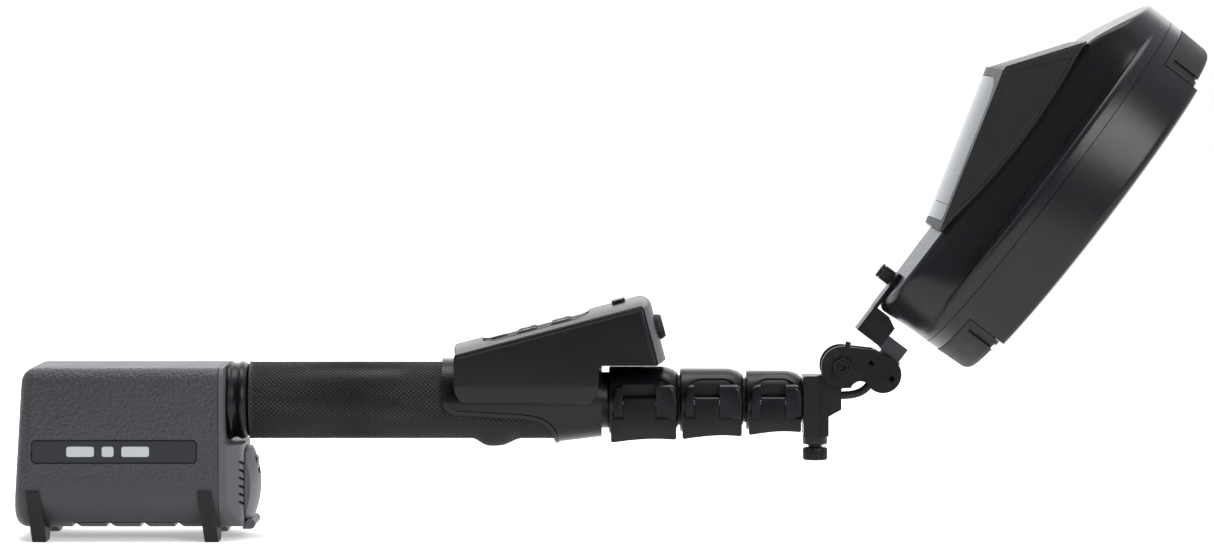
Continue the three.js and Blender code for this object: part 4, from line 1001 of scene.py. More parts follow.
wedge = joined(wedge, onto(shifted(rib, 84.5), lid_frame))
piece("console_wedge", wedge, pole_frame, "base", SATIN, "console_shell", edge=0.5, segments=2)

# %% [markdown]
# ## Keypad, keys and port plug
#
# The keypad is a dull sheet sunk into the lid. Each key is a rubber block with a round rim and a printed
# mark, and rides on its own body, so that it can be pressed. The marks are plain shapes.

# %% Keypad and keys
panel = panel_prism(0, PANEL_TOP - 1.4, PANEL_TOP)
for name in KEYS:
    panel = cut(panel, key_prism(name, GAP, -8, 8))
piece("keypad_sheet", panel, pole_frame @ lid_frame, "base", OVERLAY, "keypad_panel", edge=0.25,
      segments=2)

MARK_THICK = 0.12


def triangle_mark(radius, turn):
    corners = [(radius * math.cos(turn + i * 2.0944), radius * math.sin(turn + i * 2.0944)) for i in range(3)]
    return prism(corners, "XY", 0, MARK_THICK, all_round(0.3, 3), 3)


def bar_marks(count):
    bars = []
    for i in range(count):
        bar = prism(rectangle(-2.2, 2.2, -0.35, 0.35), "XY", 0, MARK_THICK, all_round(0.3), 3)
        bars.append(shifted(bar, 0, (i - (count - 1) / 2) * 1.6))
    return bars


def ring_mark():
    ring = spun([(0, 1.7), (MARK_THICK, 1.7), (MARK_THICK, 2.3), (0, 2.3)], 48)
    return turned(ring, "Y", -90)


MARKS = {
    "key_power": lambda: [ring_mark()],
    "key_down": lambda: [triangle_mark(2.2, math.pi)],
    "key_up": lambda: [triangle_mark(2.2, 0)],
    "key_mute": lambda: bar_marks(1),
    "key_menu": lambda: bar_marks(3),
}
for name in KEYS:
    cap_block = key_prism(name, 0, KEY_TOP - 4.5, KEY_TOP)
    piece(f"{name}_cap", cap_block, pole_frame @ lid_frame, name, KEY_RUBBER, name, edge=0.7,
          segments=4)
    middle = lid_frame.inverted() @ (sum(span(name), Vector()) / 2)
    for i, mark in enumerate(MARKS[name]()):
        mark = shifted(mark, middle.x, middle.y, KEY_TOP - 0.02)
        piece(f"{name}_mark_{i + 1}", mark, pole_frame @ lid_frame, name, KEY_PAINT)

# %% Port plug
PLUG_TOP = CROWN + 3.2
plug = spun([
    (-5, 0), (-5, PLUG_RADIUS), (PLUG_TOP - 2.2, PLUG_RADIUS), (PLUG_TOP, PLUG_RADIUS - 0.9), (PLUG_TOP, 4.4),
    (PLUG_TOP - 0.7, 4.1), (PLUG_TOP - 0.7, 0),
], 64, {2: 0.4, 3: 0.6})
plug = cut(plug, block(PLUG_TOP - 1.8, PLUG_TOP + 1, -3.4, 3.4, -0.7, 0.7))
piece("port_cover", plug, pole_frame @ plug_frame, "base", RUBBER, "port_plug", edge=0.2,
      segments=2)

# %% [markdown]
# ## The saddle under the console
#
# A half shell lies over the grip and ends in a barrel round the tube. Its lower rim sweeps down towards the
# front in an S, and a rounded lip follows it. The lip is the same half shell again, a little fatter, kept
# only as a narrow band along the rim.

# %% Saddle
saddle_low, saddle_high = span("console_base")
SADDLE_FROM, BARREL_TO = saddle_low.x, saddle_high.x
SADDLE_INNER = GRIP_RADIUS + GAP
SADDLE_OUTER = SADDLE_INNER + 1.2
BARREL_FROM = GRIP_TO + GAP
BARREL_RADIUS = 18.8


def rim_line(lift):
    """The side view of what lies below the rim, from the rear to the front."""
    a = SADDLE_FROM - 1
    return [
        (a, -30), (a, 4 + lift), (SADDLE_FROM + 0.6 + lift, 4 + lift),
        (SADDLE_FROM + 1.2 + lift, -6.2 + lift),
        (GRIP_TO - 14, -8.6 + lift), (GRIP_TO - 3 + lift, -12.5 + lift), (GRIP_TO + 1 + lift, -30),
    ]


def saddle_solid(fatter):
    outer = SADDLE_OUTER + fatter
    return spun([
        (SADDLE_FROM, SADDLE_INNER), (SADDLE_FROM, outer), (BARREL_FROM, outer),
        (BARREL_TO, BARREL_RADIUS), (BARREL_TO, TUBE_HOLE), (BARREL_FROM, TUBE_HOLE),
        (BARREL_FROM, SADDLE_INNER),
    ], 128)


RIM_ROUNDS = {2: 0.5, 3: 6, 4: 5, 5: 8}
LIP_HEIGHT, LIP_PROUD = 1.9, 0.7


def below_rim(lift=0):
    return prism(rim_line(lift), "XZ", -30, 30, RIM_ROUNDS, 8)


lip = common(cut(saddle_solid(LIP_PROUD), below_rim()), below_rim(LIP_HEIGHT))
saddle = joined(cut(saddle_solid(0), below_rim()), lip)
piece("saddle", saddle, pole_frame, "base", SATIN, "console_base", edge=0.35, segments=2, sharp=35)

# %% [markdown]
# # The pole
#
# Four aluminium tubes slide in each other. The moving ones are plain rings with broken edges, with a fine
# grain left to the material.

# %% Tubes
TUBES = ["handle_tube", "pole_tube_2", "pole_tube_3", "pole_tube_4"]
TUBE_WALL = 1.1
for name in TUBES:
    low, high = span(name)
    outer = high.y
    ring = spun([(low.x, outer - TUBE_WALL), (low.x, outer), (high.x, outer), (high.x, outer - TUBE_WALL)],
                128, all_round(0.3), 2)
    body = "base" if name == "handle_tube" else f"tube_{name[-1]}"
    piece(f"{name}_drawn", ring, pole_frame, body, ANODISED, name)

# %% [markdown]
# # The flip locks
#
# Each lock is a collar that squeezes the next tube. Two ears stand out on the near side, and a T-shaped
# lever turns on a pin between them. A raised hood arches over the ears. The three locks are the same design
# in three sizes, so one function makes them from the sizes of their CAD nodes.

# %% Lock sizes
EAR_START, EAR_WIDTH, EAR_TOP, EAR_BOTTOM, EAR_DEPTH = 2.5, 4.5, 8.8, -7.4, 5.5
PIVOT_OUT, PIVOT_Z = 2.8, -0.2
LEVER_OUTER, LEVER_INNER = 5.3, 1.2
LEVER_NECK_TOP, PADDLE_TOP = 2.7, -8.6
PIN_HOLE = 1.2 + GAP
LOCK_SIZES = {1: (16.5, "base"), 2: (12.5, "tube_2"), 3: (12.3, "tube_3")}


# %% Lock collar
def hood_band(start, end, radius):
    """A raised arch over the ears: the ring between two rounded arches."""
    outer = rectangle(start + 1.6, end - 1.4, -4, EAR_TOP + 4.4)
    inner = rectangle(start + 3, end - 2.8, -8, EAR_TOP + 3)
    outer = prism(outer, "XZ", -radius - 6, 0, {2: 9, 3: 9}, 12)
    inner = prism(inner, "XZ", -radius - 8, 2, {2: 7.8, 3: 7.8}, 12)
    skin = cut(rod(start + 1, end - 3.2, radius + 0.7, 96), rod(start - 1, end + 1, radius - 1.5, 96))
    return common(cut(outer, inner), skin)


def lock_collar(number, neck_width):
    low, high = span(f"lock_collar_{number}")
    start, end, radius = low.x, high.x, high.y
    wide = span(TUBES[number - 1])[1].y + GAP
    narrow = span(TUBES[number])[1].y + GAP
    step = start + 0.6 * (end - start)
    made = spun([
        (start, wide), (start, radius), (end - 7, radius), (end - 2.6, radius - 1.5), (end, radius - 3.4),
        (end, narrow), (step, narrow), (step, wide),
    ], 128, {1: 0.9, 2: 2, 4: 0.8}, 4)
    ears = prism(rectangle(start + EAR_START, end - 1, EAR_BOTTOM, EAR_TOP), "XZ", -radius - EAR_DEPTH,
                 -radius + 5, {0: 1.2, 1: 1.2, 2: 3.6, 3: 3.6}, 8)
    crown = edges_where(ears, lambda co: co.y < -radius - EAR_DEPTH + 0.1 and co.z > EAR_BOTTOM + 3)
    round_edges(ears, crown, 2.2, 5)
    ears = cut(ears, rod(start - 1, end + 1, radius - 1.5, 96))
    made = joined(made, ears, hood_band(start, end, radius))
    slot = start + EAR_START + EAR_WIDTH
    made = cut(
        made,
        block(slot, slot + neck_width + 2 * GAP, -radius - 9, 1.2 - radius, EAR_BOTTOM - 2, EAR_TOP - 1.5),
        block(slot, slot + neck_width + 2 * GAP, -radius - 9, -wide - 0.6, 1, EAR_TOP + 0.3),
        shifted(rod(start + 1, end + 1, PIN_HOLE, 32), 0, -radius - PIVOT_OUT, PIVOT_Z),
    )
    return made


# %% Lever
def lock_lever(number, neck_width):
    bottom = span(f"lock_lever_{number}")[0].z
    collar_from, collar_to = (corner.x for corner in span(f"lock_collar_{number}"))
    radius = span(f"lock_collar_{number}")[1].y
    outer, inner = -radius - LEVER_OUTER, -radius - LEVER_INNER
    neck = collar_from + EAR_START + EAR_WIDTH + GAP
    left, right = collar_from + 1, collar_to - 1
    third = (right - left) / 3
    made = prism([
        (left, bottom), (left + third, bottom + 1.4), (left + 2 * third, bottom + 2.1), (right, bottom + 1.5),
        (right, PADDLE_TOP), (neck + neck_width, PADDLE_TOP), (neck + neck_width, LEVER_NECK_TOP),
        (neck, LEVER_NECK_TOP), (neck, PADDLE_TOP), (left, PADDLE_TOP),
    ], "XZ", outer, inner, {0: 1.2, 1: 4.2, 2: 4.2, 3: 1.2}, 6)
    top = edges_where(made, lambda co: co.y < outer + 0.1 and co.z > LEVER_NECK_TOP - 0.1)
    round_edges(made, top, 2.2, 5)
    lip = edges_where(made, lambda co: co.y < outer + 0.1 and co.z < bottom + 3)
    round_edges(made, lip, 0.9, 4)
    hub = rod(neck + 0.1, neck + neck_width - 0.1, 2, 32)
    hole = rod(neck - 2, neck + neck_width + 2, PIN_HOLE, 32)
    pivot = (0, -radius - PIVOT_OUT, PIVOT_Z)
    return cut(joined(made, shifted(hub, *pivot)), shifted(hole, *pivot))


for number, (neck_width, body) in LOCK_SIZES.items():
    for part, ride_on, solid in (("collar", body, lock_collar), ("lever", f"lever_{number}", lock_lever)):
        piece(f"lock_{number}_{part}", solid(number, neck_width), pole_frame, ride_on, SATIN,
              f"lock_{part}_{number}", edge=0.35, segments=2)

# %% [markdown]
# # The end of the pole
#
# The bracket is clamped on the last tube by the knob below it. Its lug carries the tilt bolt, and its nose
# slopes away below. The knob is a small turned grip, and its flutes are cut one after another.

# %% Bracket
LOBE, HINGE_ALONG, HINGE_UP = 10.8, 19.8, 17.5
BRACKET_FROM = span("knuckle_plate_near")[0].x + LOBE - HINGE_ALONG
HINGE_AT = Vector((BRACKET_FROM + HINGE_ALONG, 0, HINGE_UP))
BRACKET_TOP, BRACKET_BOTTOM = 12.9, -18.3
LUG_HALF, WIDE_HALF = 7.8, 12.4
NOSE_AT, NOSE_TOP, NOSE_BOTTOM = 19.6, 6.7, -4.6
LEAD_DIAMETER = 4.3
LEAD_EXIT = (NOSE_TOP + NOSE_BOTTOM) / 2 + 1.5
KNOB_ALONG, KNOB_RADIUS, BOSS_DROP = 6.4, 6.4, 4.6
BOLT_RADIUS = 3


def bracket_solid():
    at = BRACKET_FROM
    wide = prism(rectangle(at, at + 7.9, BRACKET_BOTTOM, BRACKET_TOP), "XZ", -WIDE_HALF, WIDE_HALF,
                 all_round(1.2))
    cheek = prism([
        (at + 1, BRACKET_BOTTOM), (at + 13.1, BRACKET_BOTTOM), (at + 13.1, -8.2),
        (at + NOSE_AT, NOSE_BOTTOM), (at + NOSE_AT, NOSE_TOP), (at + 23.4, NOSE_TOP),
        (at + 23.4, BRACKET_TOP), (at + 1, BRACKET_TOP),
    ], "XZ", -LUG_HALF, LUG_HALF, {4: 1.4, 5: 0.4})
    lug = rod_y(-LUG_HALF, LUG_HALF, 9.5, HINGE_AT.x, HINGE_AT.z, 96)
    boss = rod_z(BRACKET_BOTTOM - BOSS_DROP, BRACKET_BOTTOM + 1, KNOB_RADIUS, at + KNOB_ALONG, 0, 64, 0.9)
    made = joined(wide, cheek, lug, boss)
    tube_end, tube_radius = span("pole_tube_4")[1].xy
    bore = tube_radius - TUBE_WALL - GAP
    spigot = spun([(at - 25, bore - 3), (at - 25, bore), (at + 2, bore), (at + 2, bore - 3)], 64)
    socket = spun([
        (at - 1, bore), (at - 1, tube_radius + GAP), (tube_end + GAP, tube_radius + GAP),
        (tube_end + GAP, bore),
    ], 64)
    made = joined(cut(made, socket), spigot)
    return cut(
        made,
        rod(at - 26, at + 11.6, bore - 3, 64),
        shifted(rod(at, at + 21, LEAD_DIAMETER / 2 + GAP, 32), 0, 0, LEAD_EXIT),
        rod_z(BRACKET_BOTTOM - 6, -tube_radius, 2 + GAP, at + KNOB_ALONG, 0, 32),
        rod_y(-9, 9, BOLT_RADIUS + GAP, HINGE_AT.x, HINGE_AT.z, 48),
    )


piece("pole_end_bracket", bracket_solid(), pole_frame, "tube_4", SATIN, "end_bracket", edge=0.45,
      segments=2)


# %% Clamp knob
def fluted(made, centre_x, centre_y, radius, low, high, count, flute):
    for i in range(count):
        angle = 2 * math.pi * i / count
        x = centre_x + (radius + flute * 0.35) * math.cos(angle)
        y = centre_y + (radius + flute * 0.35) * math.sin(angle)
        made = cut(made, rod_z(low, high, flute, x, y, 16))
    return made


knob_low = span("clamp_knob")[0].z
knob_x = BRACKET_FROM + KNOB_ALONG
knob_top = BRACKET_BOTTOM - BOSS_DROP - GAP
grip_part = rod_z(knob_low, knob_top - 1.1, KNOB_RADIUS, knob_x, 0, 64, 1.2)
grip_part = fluted(grip_part, knob_x, 0, KNOB_RADIUS, knob_low - 1, knob_top, 12, 1.0)
knob = joined(
    grip_part, rod_z(knob_top - 2, knob_top, 3.6, knob_x, 0, 48),
    rod_z(knob_top - 1, -span("pole_tube_4")[1].y - GAP, 2, knob_x, 0, 32),
)
piece("clamp_knob_fluted", knob, pole_frame, "clamp_knob", ANODISED, "clamp_knob", edge=0.3,
      segments=2)

# %% [markdown]
# # The knuckle
#
# Two flat plates hold a bearing block between them. The plate's outline is two lobes joined by a waisted
# web, with a round bite out of its underside. Both plates, and the block between them, come from the same
# outline, so they line up by design.

# %% Plates and bearing block
PLATE_INNER, PLATE_OUTER = 8.1, 12.6
FAR_LOBE = 9.5
FAR_X, FAR_Z = 20.9, -3.8
SHAFT_AXIS = -17.3
level_in_neck = Matrix.Rotation(-HEAD_ANGLE, 4, "Y")


def plate_solid(y0, y1, with_tab=False):
    near = rod_y(y0, y1, LOBE, 0, 0, 128)
    far = rod_y(y0, y1, FAR_LOBE, FAR_X, FAR_Z, 96)
    web = prism([
        (0, -LOBE), (FAR_X - 7.3, FAR_Z - 6.5), (FAR_X - 2.1, FAR_Z - 9.2), (FAR_X + 7.3, FAR_Z + 6.4),
        (FAR_X - 4.1, FAR_Z + 12.7), (0, LOBE),
    ], "XZ", y0, y1)
    made = cut(joined(near, far, web), rod_y(y0 - 1, y1 + 1, 5.2, 9.4, -12.4, 64))
    if with_tab:
        tab = block(-1.3, 1.3, y0, y1, LOBE - 1, LOBE + 2.6)
        made = joined(made, turned(tab, "Y", 14))
    return made


def cross_pin_rod(way, reach, radius):
    return onto(rod_y(-reach, reach, radius, 10.6, SHAFT_AXIS + way * 6.6, 32), level_in_neck)


def with_holes(made, reach):
    holes = [cross_pin_rod(way, reach, 1.25 + GAP) for way in (-1, 1)]
    return cut(made, rod_y(-reach, reach, BOLT_RADIUS + GAP, 0, 0, 48), *holes)


for side, y0, y1 in (("near", -PLATE_OUTER, -PLATE_INNER), ("far", PLATE_INNER, PLATE_OUTER)):
    plate = with_holes(plate_solid(y0, y1, side == "near"), 20)
    piece(f"knuckle_{side}_plate", plate, knuckle_frame, "knuckle", ANODISED,
          f"knuckle_plate_{side}", edge=0.35, segments=2)

bearing = block(1.5, 18.8, -LUG_HALF, LUG_HALF, SHAFT_AXIS - 9.6, SHAFT_AXIS + 9.6)
bearing = cut(bearing, shifted(rod(3.2, 20, 6.5, 96), 0, 0, SHAFT_AXIS))
bearing = cut(onto(bearing, level_in_neck), rod_y(-10, 10, 10.3, 0, 0, 96))
bearing = cut(common(bearing, plate_solid(-LUG_HALF - 1, LUG_HALF + 1)),
              *[cross_pin_rod(way, 12, 1.25 + GAP) for way in (-1, 1)])
piece("bearing_block", bearing, knuckle_frame, "knuckle", ANODISED, "knuckle_core", edge=0.2,
      segments=2)

# %% Bolt and nut
bolt_reach = PLATE_OUTER + GAP
star = []
for i in range(12):
    radius = 1.75 if i % 2 else 2.35
    star.append((radius * math.cos(math.pi * i / 6), radius * math.sin(math.pi * i / 6)))
bolt = joined(
    rod_y(-bolt_reach - 3.6, bolt_reach + 1, BOLT_RADIUS, 0, 0, 48, 0.4),
    rod_y(bolt_reach, bolt_reach + 3.6, 5, 0, 0, 64, 0.7),
)
bolt = cut(bolt, prism(star, "XZ", -bolt_reach - 5, -bolt_reach - 1.6, {i: 0.25 for i in range(12)}, 3))
piece("tilt_bolt_star", bolt, knuckle_frame, "knuckle", ANODISED, "tilt_bolt", edge=0.15,
      segments=2)
NUT_ACROSS, NUT_THICK, NUT_TURN = 9.1, 3.1, 0.5
nut_radius = NUT_ACROSS / 2 / math.cos(math.pi / 6)
turns = [math.pi * i / 3 + NUT_TURN for i in range(6)]
six = [(nut_radius * math.cos(turn), nut_radius * math.sin(turn)) for turn in turns]
nut = prism(six, "XZ", -bolt_reach - NUT_THICK, -bolt_reach)
chamfer = turned(spun([(-0.2, 0), (-0.2, 4.75), (2.2, 6.2), (3.2, 6.2), (3.2, 0)], 96), "Z", 90)
nut = common(nut, shifted(chamfer, 0, -bolt_reach - NUT_THICK, 0))
nut = cut(nut, rod_y(-30, 0, BOLT_RADIUS + GAP, 0, 0, 48))
piece("tilt_nut_hex", nut, knuckle_frame, "knuckle", ANODISED, "tilt_nut", edge=0.2, segments=2)

# %% [markdown]
# # Swivel shaft and neck
#
# The shaft turns in the bearing block and ends in a square flange. The neck block sits on the flange, and
# its strap runs along the top of the head to the heel screw. All of it leans with the head.

# %% Shaft
JOURNAL, GROOVE = 6.2, 4.9
journal = shifted(spun([
    (3.5, 0), (3.5, JOURNAL), (8.9, JOURNAL), (8.9, GROOVE), (12.3, GROOVE), (12.3, JOURNAL),
    (19.6, JOURNAL), (19.6, 0),
], 96), 0, 0, SHAFT_AXIS)
flange = block(19.4, 27.3, -8, 8, SHAFT_AXIS - 4.5, -9.8)
piece("swivel_shaft_turned", joined(journal, flange), neck_frame, "head", FLANGE_STEEL,
      "swivel_shaft", edge=0.3, segments=2)

# %% Neck block and strap
NECK_HALF = 12
HEEL_AT, SCREW_IN, SCREW_RADIUS = 35.4, 16.1, 1.9
STRAP_LOW, STRAP_THICK = 4, 2
neck = prism([(20, -9.5), (32.1, -9.5), (35.1, -3.5), (35.1, 5.7), (20, 5.7)], "XZ", -NECK_HALF, NECK_HALF)
neck = joined(neck, block(34, 56, -NECK_HALF, NECK_HALF, STRAP_LOW, STRAP_LOW + STRAP_THICK))
neck = cut(neck, rod_z(2, 9, SCREW_RADIUS + GAP, HEEL_AT + SCREW_IN, 0, 32))
piece("neck_and_strap", neck, neck_frame, "head", SATIN, "neck_block", edge=0.35, segments=2)


# %% Heel screw
SADDLE_TOP = 31
HEEL_X = -104.6
THUMB_RADIUS, THUMB_HEIGHT, THUMB_GROOVE = 3.85, 8.2, 6.1
screw_low = SADDLE_TOP + GAP + STRAP_THICK + GAP
SCREW_X = HEEL_X + SCREW_IN
grip_part = rod_z(screw_low, screw_low + THUMB_HEIGHT, THUMB_RADIUS, SCREW_X, 0, 96, 0.5)
grip_part = fluted(grip_part, SCREW_X, 0, THUMB_RADIUS, screw_low - 1, screw_low + THUMB_GROOVE, 24, 0.28)
groove = turned(spun([(0, 3.3), (0, 5), (0.7, 5), (0.7, 3.3)], 64), "Y", -90)
driver_slot = block(SCREW_X - 5, SCREW_X + 5, -0.55, 0.55, screw_low + 7, screw_low + 9)
grip_part = cut(grip_part, shifted(groove, SCREW_X, 0, screw_low + THUMB_GROOVE), driver_slot)
heel = joined(grip_part, rod_z(screw_low - GAP - 6, screw_low + 1, SCREW_RADIUS, SCREW_X, 0, 32))
piece("heel_screw_knurled", heel, head_frame, "heel_screw", ANODISED, "heel_screw", edge=0.12,
      segments=2)

# %% [markdown]
# # The head
#
# Seen from above, the head is an oval, so its shells are spun round a vertical axis and then drawn in
# across. The lower shell has a soft lower rim and a shallow dome. Its ends are cut back, and two stepped
# rubber bumpers fill them up again.

# %% Oval shells
HALF_LENGTH, HALF_WIDTH = 103, 78
DOME, RIM = -33, -29.5
HEAD_WALL = 2.4
BUMPER_FROM, BUMPER_TOP, BUMPER_BOTTOM, BUMPER_THICK = 81, -7, -26.8, 2.3
OVAL_STEPS = 192


def oval(profile, rounds=(), segments=6):
    """A profile of (height, reach) spun upright and drawn in across the head."""
    made = turned(spun(profile, OVAL_STEPS, rounds, segments), "Y", -90)
    bmesh.ops.scale(made, vec=(1, HALF_WIDTH / HALF_LENGTH, 1), verts=made.verts)
    return outward(made)


def lower_shell(reach, rim, dome):
    return oval([
        (dome, 0), (dome + 0.3 * (rim - dome), reach * 0.5), (rim, reach - 9), (rim + 1.5, reach - 1.2),
        (0, reach), (0, 0),
    ], {1: 40, 2: 5, 3: 3.5}, 6)


def end_blocks(start, top):
    return [block(*sorted((way * start, way * 130)), -90, 90, -60, top) for way in (-1, 1)]


core_bottom = BUMPER_BOTTOM + BUMPER_THICK
base_core = lower_shell(HALF_LENGTH - BUMPER_THICK, core_bottom, core_bottom)
base_solid = lower_shell(HALF_LENGTH, RIM, DOME)
for end in end_blocks(BUMPER_FROM - GAP, BUMPER_TOP + GAP):
    base_solid = cut(base_solid, cut(end, base_core.copy()))
well_floor = core_bottom + HEAD_WALL
inner_reach = HALF_LENGTH - BUMPER_THICK - HEAD_WALL
base_solid = cut(
    base_solid,
    oval([(well_floor, 0), (well_floor, inner_reach), (2, inner_reach), (2, 0)]),
    oval([(RIM + HEAD_WALL, 0), (RIM + HEAD_WALL, BUMPER_FROM - 8), (2, BUMPER_FROM - 8), (2, 0)]),
)
piece("antenna_shell", base_solid, head_frame, "head", HEAD_SKIN, "head_base", edge=0.7,
      segments=3)


# %% Bumpers
SHOULDER_AT, SHOULDER_WIDTH, SHOULDER_DEPTH = 2.6, 2.6, 0.9
BUMPER_PROUD = 0.4


def bumper_solid(way):
    outside = lower_shell(HALF_LENGTH + BUMPER_PROUD, BUMPER_BOTTOM, BUMPER_BOTTOM)
    reach = HALF_LENGTH - BUMPER_THICK + GAP
    floor = BUMPER_BOTTOM + BUMPER_THICK - GAP
    x0, x1 = sorted((way * BUMPER_FROM, way * 120))
    made = common(cut(outside, lower_shell(reach, floor, floor)), block(x0, x1, -90, 90, -50, BUMPER_TOP))
    shoulder = BUMPER_FROM + SHOULDER_AT
    x0, x1 = sorted((way * shoulder, way * (shoulder + SHOULDER_WIDTH)))
    trough = common(lower_shell(HALF_LENGTH + 4, BUMPER_BOTTOM - 4, BUMPER_BOTTOM - 4),
                    block(x0, x1, -90, 90, -50, BUMPER_TOP - 3))
    floor = BUMPER_BOTTOM + SHOULDER_DEPTH
    trough = cut(trough, lower_shell(HALF_LENGTH + BUMPER_PROUD - SHOULDER_DEPTH, floor, floor))
    made = cut(made, trough)
    groove = oval([
        (-13.4, HALF_LENGTH - 0.35), (-13.4, HALF_LENGTH + 4), (-12.2, HALF_LENGTH + 4),
        (-12.2, HALF_LENGTH - 0.35),
    ])
    return cut(made, groove)


for way, name in ((1, "tip"), (-1, "heel")):
    piece(f"rubber_bumper_{name}", bumper_solid(way), head_frame, "head", RUBBER, f"bumper_{name}",
          edge=0.6, segments=3)

# %% [markdown]
# ## The cover and its saddle
#
# The upper shell starts with a low skirt. Inside it a lens-shaped ledge sinks away, and above the ledge a
# broad saddle rises. The saddle is spun like the shells, as a net of rings and spokes. Then its points are
# moved by rule: the sides are squeezed flat, they lean in towards the top, and the tip slopes down.

# %% Saddle net
SADDLE_HALF = 51
LEDGE, LEDGE_RISE = 8.5, 3.2
TIP_SLOPE, TIP_DROP = 36, 15.5
SADDLE_LEAN = 6.5
FLATNESS = 9


def squeezed(across, limit):
    """Holds a distance across the head under a limit, with a soft turn where it gets there."""
    return across / (1 + abs(across / limit) ** FLATNESS) ** (1 / FLATNESS)


def tip_height(x):
    """The saddle's top at x, as a share of its full rise."""
    start = HALF_LENGTH - TIP_SLOPE
    slope = (SADDLE_TOP - TIP_DROP) / (TIP_SLOPE - 1.6)
    lowered = max(0, x - start) * slope
    softened = lowered if x > start + 8 else max(0, x - start + 8) ** 2 / 32 * slope
    return (SADDLE_TOP - LEDGE - softened) / (SADDLE_TOP - LEDGE)


def saddle_net(inset, low, edge):
    reach, top = HALF_LENGTH - inset, SADDLE_TOP - inset
    profile = outline(
        [(low, 0), (low, reach), (top, reach), (top, 0)], {2: edge}, 8,
    )
    flat = [e for e in profile.edges if all(v.co.x > top - 0.01 for v in e.verts)]
    bmesh.ops.subdivide_edges(profile, edges=flat, cuts=24)
    side = [e for e in profile.edges if all(v.co.y > reach - 0.01 for v in e.verts)]
    bmesh.ops.subdivide_edges(profile, edges=side, cuts=6)
    made = turned(revolved(profile, OVAL_STEPS), "Y", -90)
    for v in made.verts:
        radius = math.hypot(v.co.x, v.co.y)
        if radius < 0.01:
            continue
        spoke = v.co.y / radius
        height = max(0, v.co.z - LEDGE) / (SADDLE_TOP - LEDGE)
        limit = SADDLE_HALF + 0.6 - inset - SADDLE_LEAN * height
        v.co.y = squeezed(HALF_WIDTH * spoke, limit) * radius / reach
        if v.co.x < 0:
            v.co.x *= 1 + height * (-HEEL_X / HALF_LENGTH - 1)
        if height > 0:
            v.co.z = LEDGE + (v.co.z - LEDGE) * tip_height(v.co.x)
    return outward(made)


# %% Cover
skirt = oval([
    (GAP, 0), (GAP, HALF_LENGTH), (LEDGE - 2, HALF_LENGTH), (LEDGE, HALF_LENGTH - 2.4),
    (LEDGE - 0.9, HALF_LENGTH - 5), (LEDGE + LEDGE_RISE, SADDLE_HALF + 4), (LEDGE + LEDGE_RISE, 0),
], {2: 1.5, 3: 1.2, 4: 1.5}, 5)
cover = joined(skirt, saddle_net(0, 2, 4.5))
cover = cut(
    cover,
    oval([(-1, 0), (-1, inner_reach), (LEDGE - HEAD_WALL - 0.6, inner_reach), (LEDGE - HEAD_WALL - 0.6, 0)]),
    saddle_net(5, 0, 3),
    block(-12, 12, -20, 20, SADDLE_TOP - 8, SADDLE_TOP + 2),
    rod_z(SADDLE_TOP - 8, SADDLE_TOP + 2, SCREW_RADIUS + GAP, SCREW_X, 0, 32),
)
piece("saddle_cover", cover, head_frame, "head", HEAD_SKIN, "head_cover", edge=0.5, segments=2,
      sharp=40)

# %% [markdown]
# ## The display
#
# The display is a wedge on the saddle. Its long face slopes up to a narrow top and holds a window that is
# crowned like the console's lid. The flat sides are sunk by a hair, which leaves a frame round each.

# %% Display housing
DISPLAY_REAR, APEX, DISPLAY_FRONT = -54.4, 29.2, 66.6
DISPLAY_HALF = 50
REAR_TOP, APEX_TOP = 32.6, 56.4
WINDOW_CROWN = 4.4
BEZEL, GLASS_THICK = 4.5, 1.6
FACE_SLOPE = math.atan2(APEX_TOP - REAR_TOP, APEX - DISPLAY_REAR)
FACE_HALF = (APEX - DISPLAY_REAR) / 2 / math.cos(FACE_SLOPE)
face_frame = Matrix.Translation(((APEX + DISPLAY_REAR) / 2, 0, (APEX_TOP + REAR_TOP) / 2))
face_frame = face_frame @ Matrix.Rotation(-FACE_SLOPE, 4, "Y")


def display_outline(inset):
    low = SADDLE_TOP + GAP
    return [
        (DISPLAY_REAR + inset, low + inset), (DISPLAY_FRONT - 1.6 * inset, low + inset),
        (APEX + 2.5 - 0.3 * inset, APEX_TOP - inset), (APEX - 0.2 * inset, APEX_TOP - inset),
        (DISPLAY_REAR + inset, REAR_TOP + 0.2),
    ]


def crown_under(depth, crown=WINDOW_CROWN, slices=20):
    """A slab whose upper face bulges across the head, lying on the display's sloping face."""
    made = block(-FACE_HALF, FACE_HALF, -DISPLAY_HALF, DISPLAY_HALF, -depth, 0)
    for i in range(1, slices):
        bmesh.ops.bisect_plane(
            made, geom=made.verts[:] + made.edges[:] + made.faces[:], dist=1e-5,
            plane_co=(0, -DISPLAY_HALF + 2 * DISPLAY_HALF * i / slices, 0), plane_no=(0, 1, 0),
        )
    for v in made.verts:
        if v.co.z > -0.01:
            v.co.z += crown * (1 - (v.co.y / DISPLAY_HALF) ** 2)
    return onto(outward(made), face_frame)


def window_block(margin, low, high, from_x=None, to_x=None):
    half = FACE_HALF - BEZEL - margin
    side = DISPLAY_HALF - BEZEL - margin
    made = prism(rectangle(-half, half, -side, side), "XY", low, high, {0: 3, 1: 12, 2: 12, 3: 3}, 10)
    if from_x is not None:
        made = common(made, block(from_x, to_x, -60, 60, low - 1, high + 1))
    return onto(made, face_frame)


APRON_DROP = 5.5
SIDE_SUNK = 0.8


def bowed_line(rise, first=-1.0, last=1.0, steps=24):
    """The lower line of a flat side, from rear to front, raised by some millimetres."""
    middle, half = (DISPLAY_REAR + DISPLAY_FRONT) / 2, (DISPLAY_FRONT - DISPLAY_REAR) / 2 - 4
    shares = [first + (last - first) * i / steps for i in range(steps + 1)]
    low = SADDLE_TOP + GAP + rise
    return [(middle + half * share, low - APRON_DROP * (1 - share ** 2)) for share in shares]


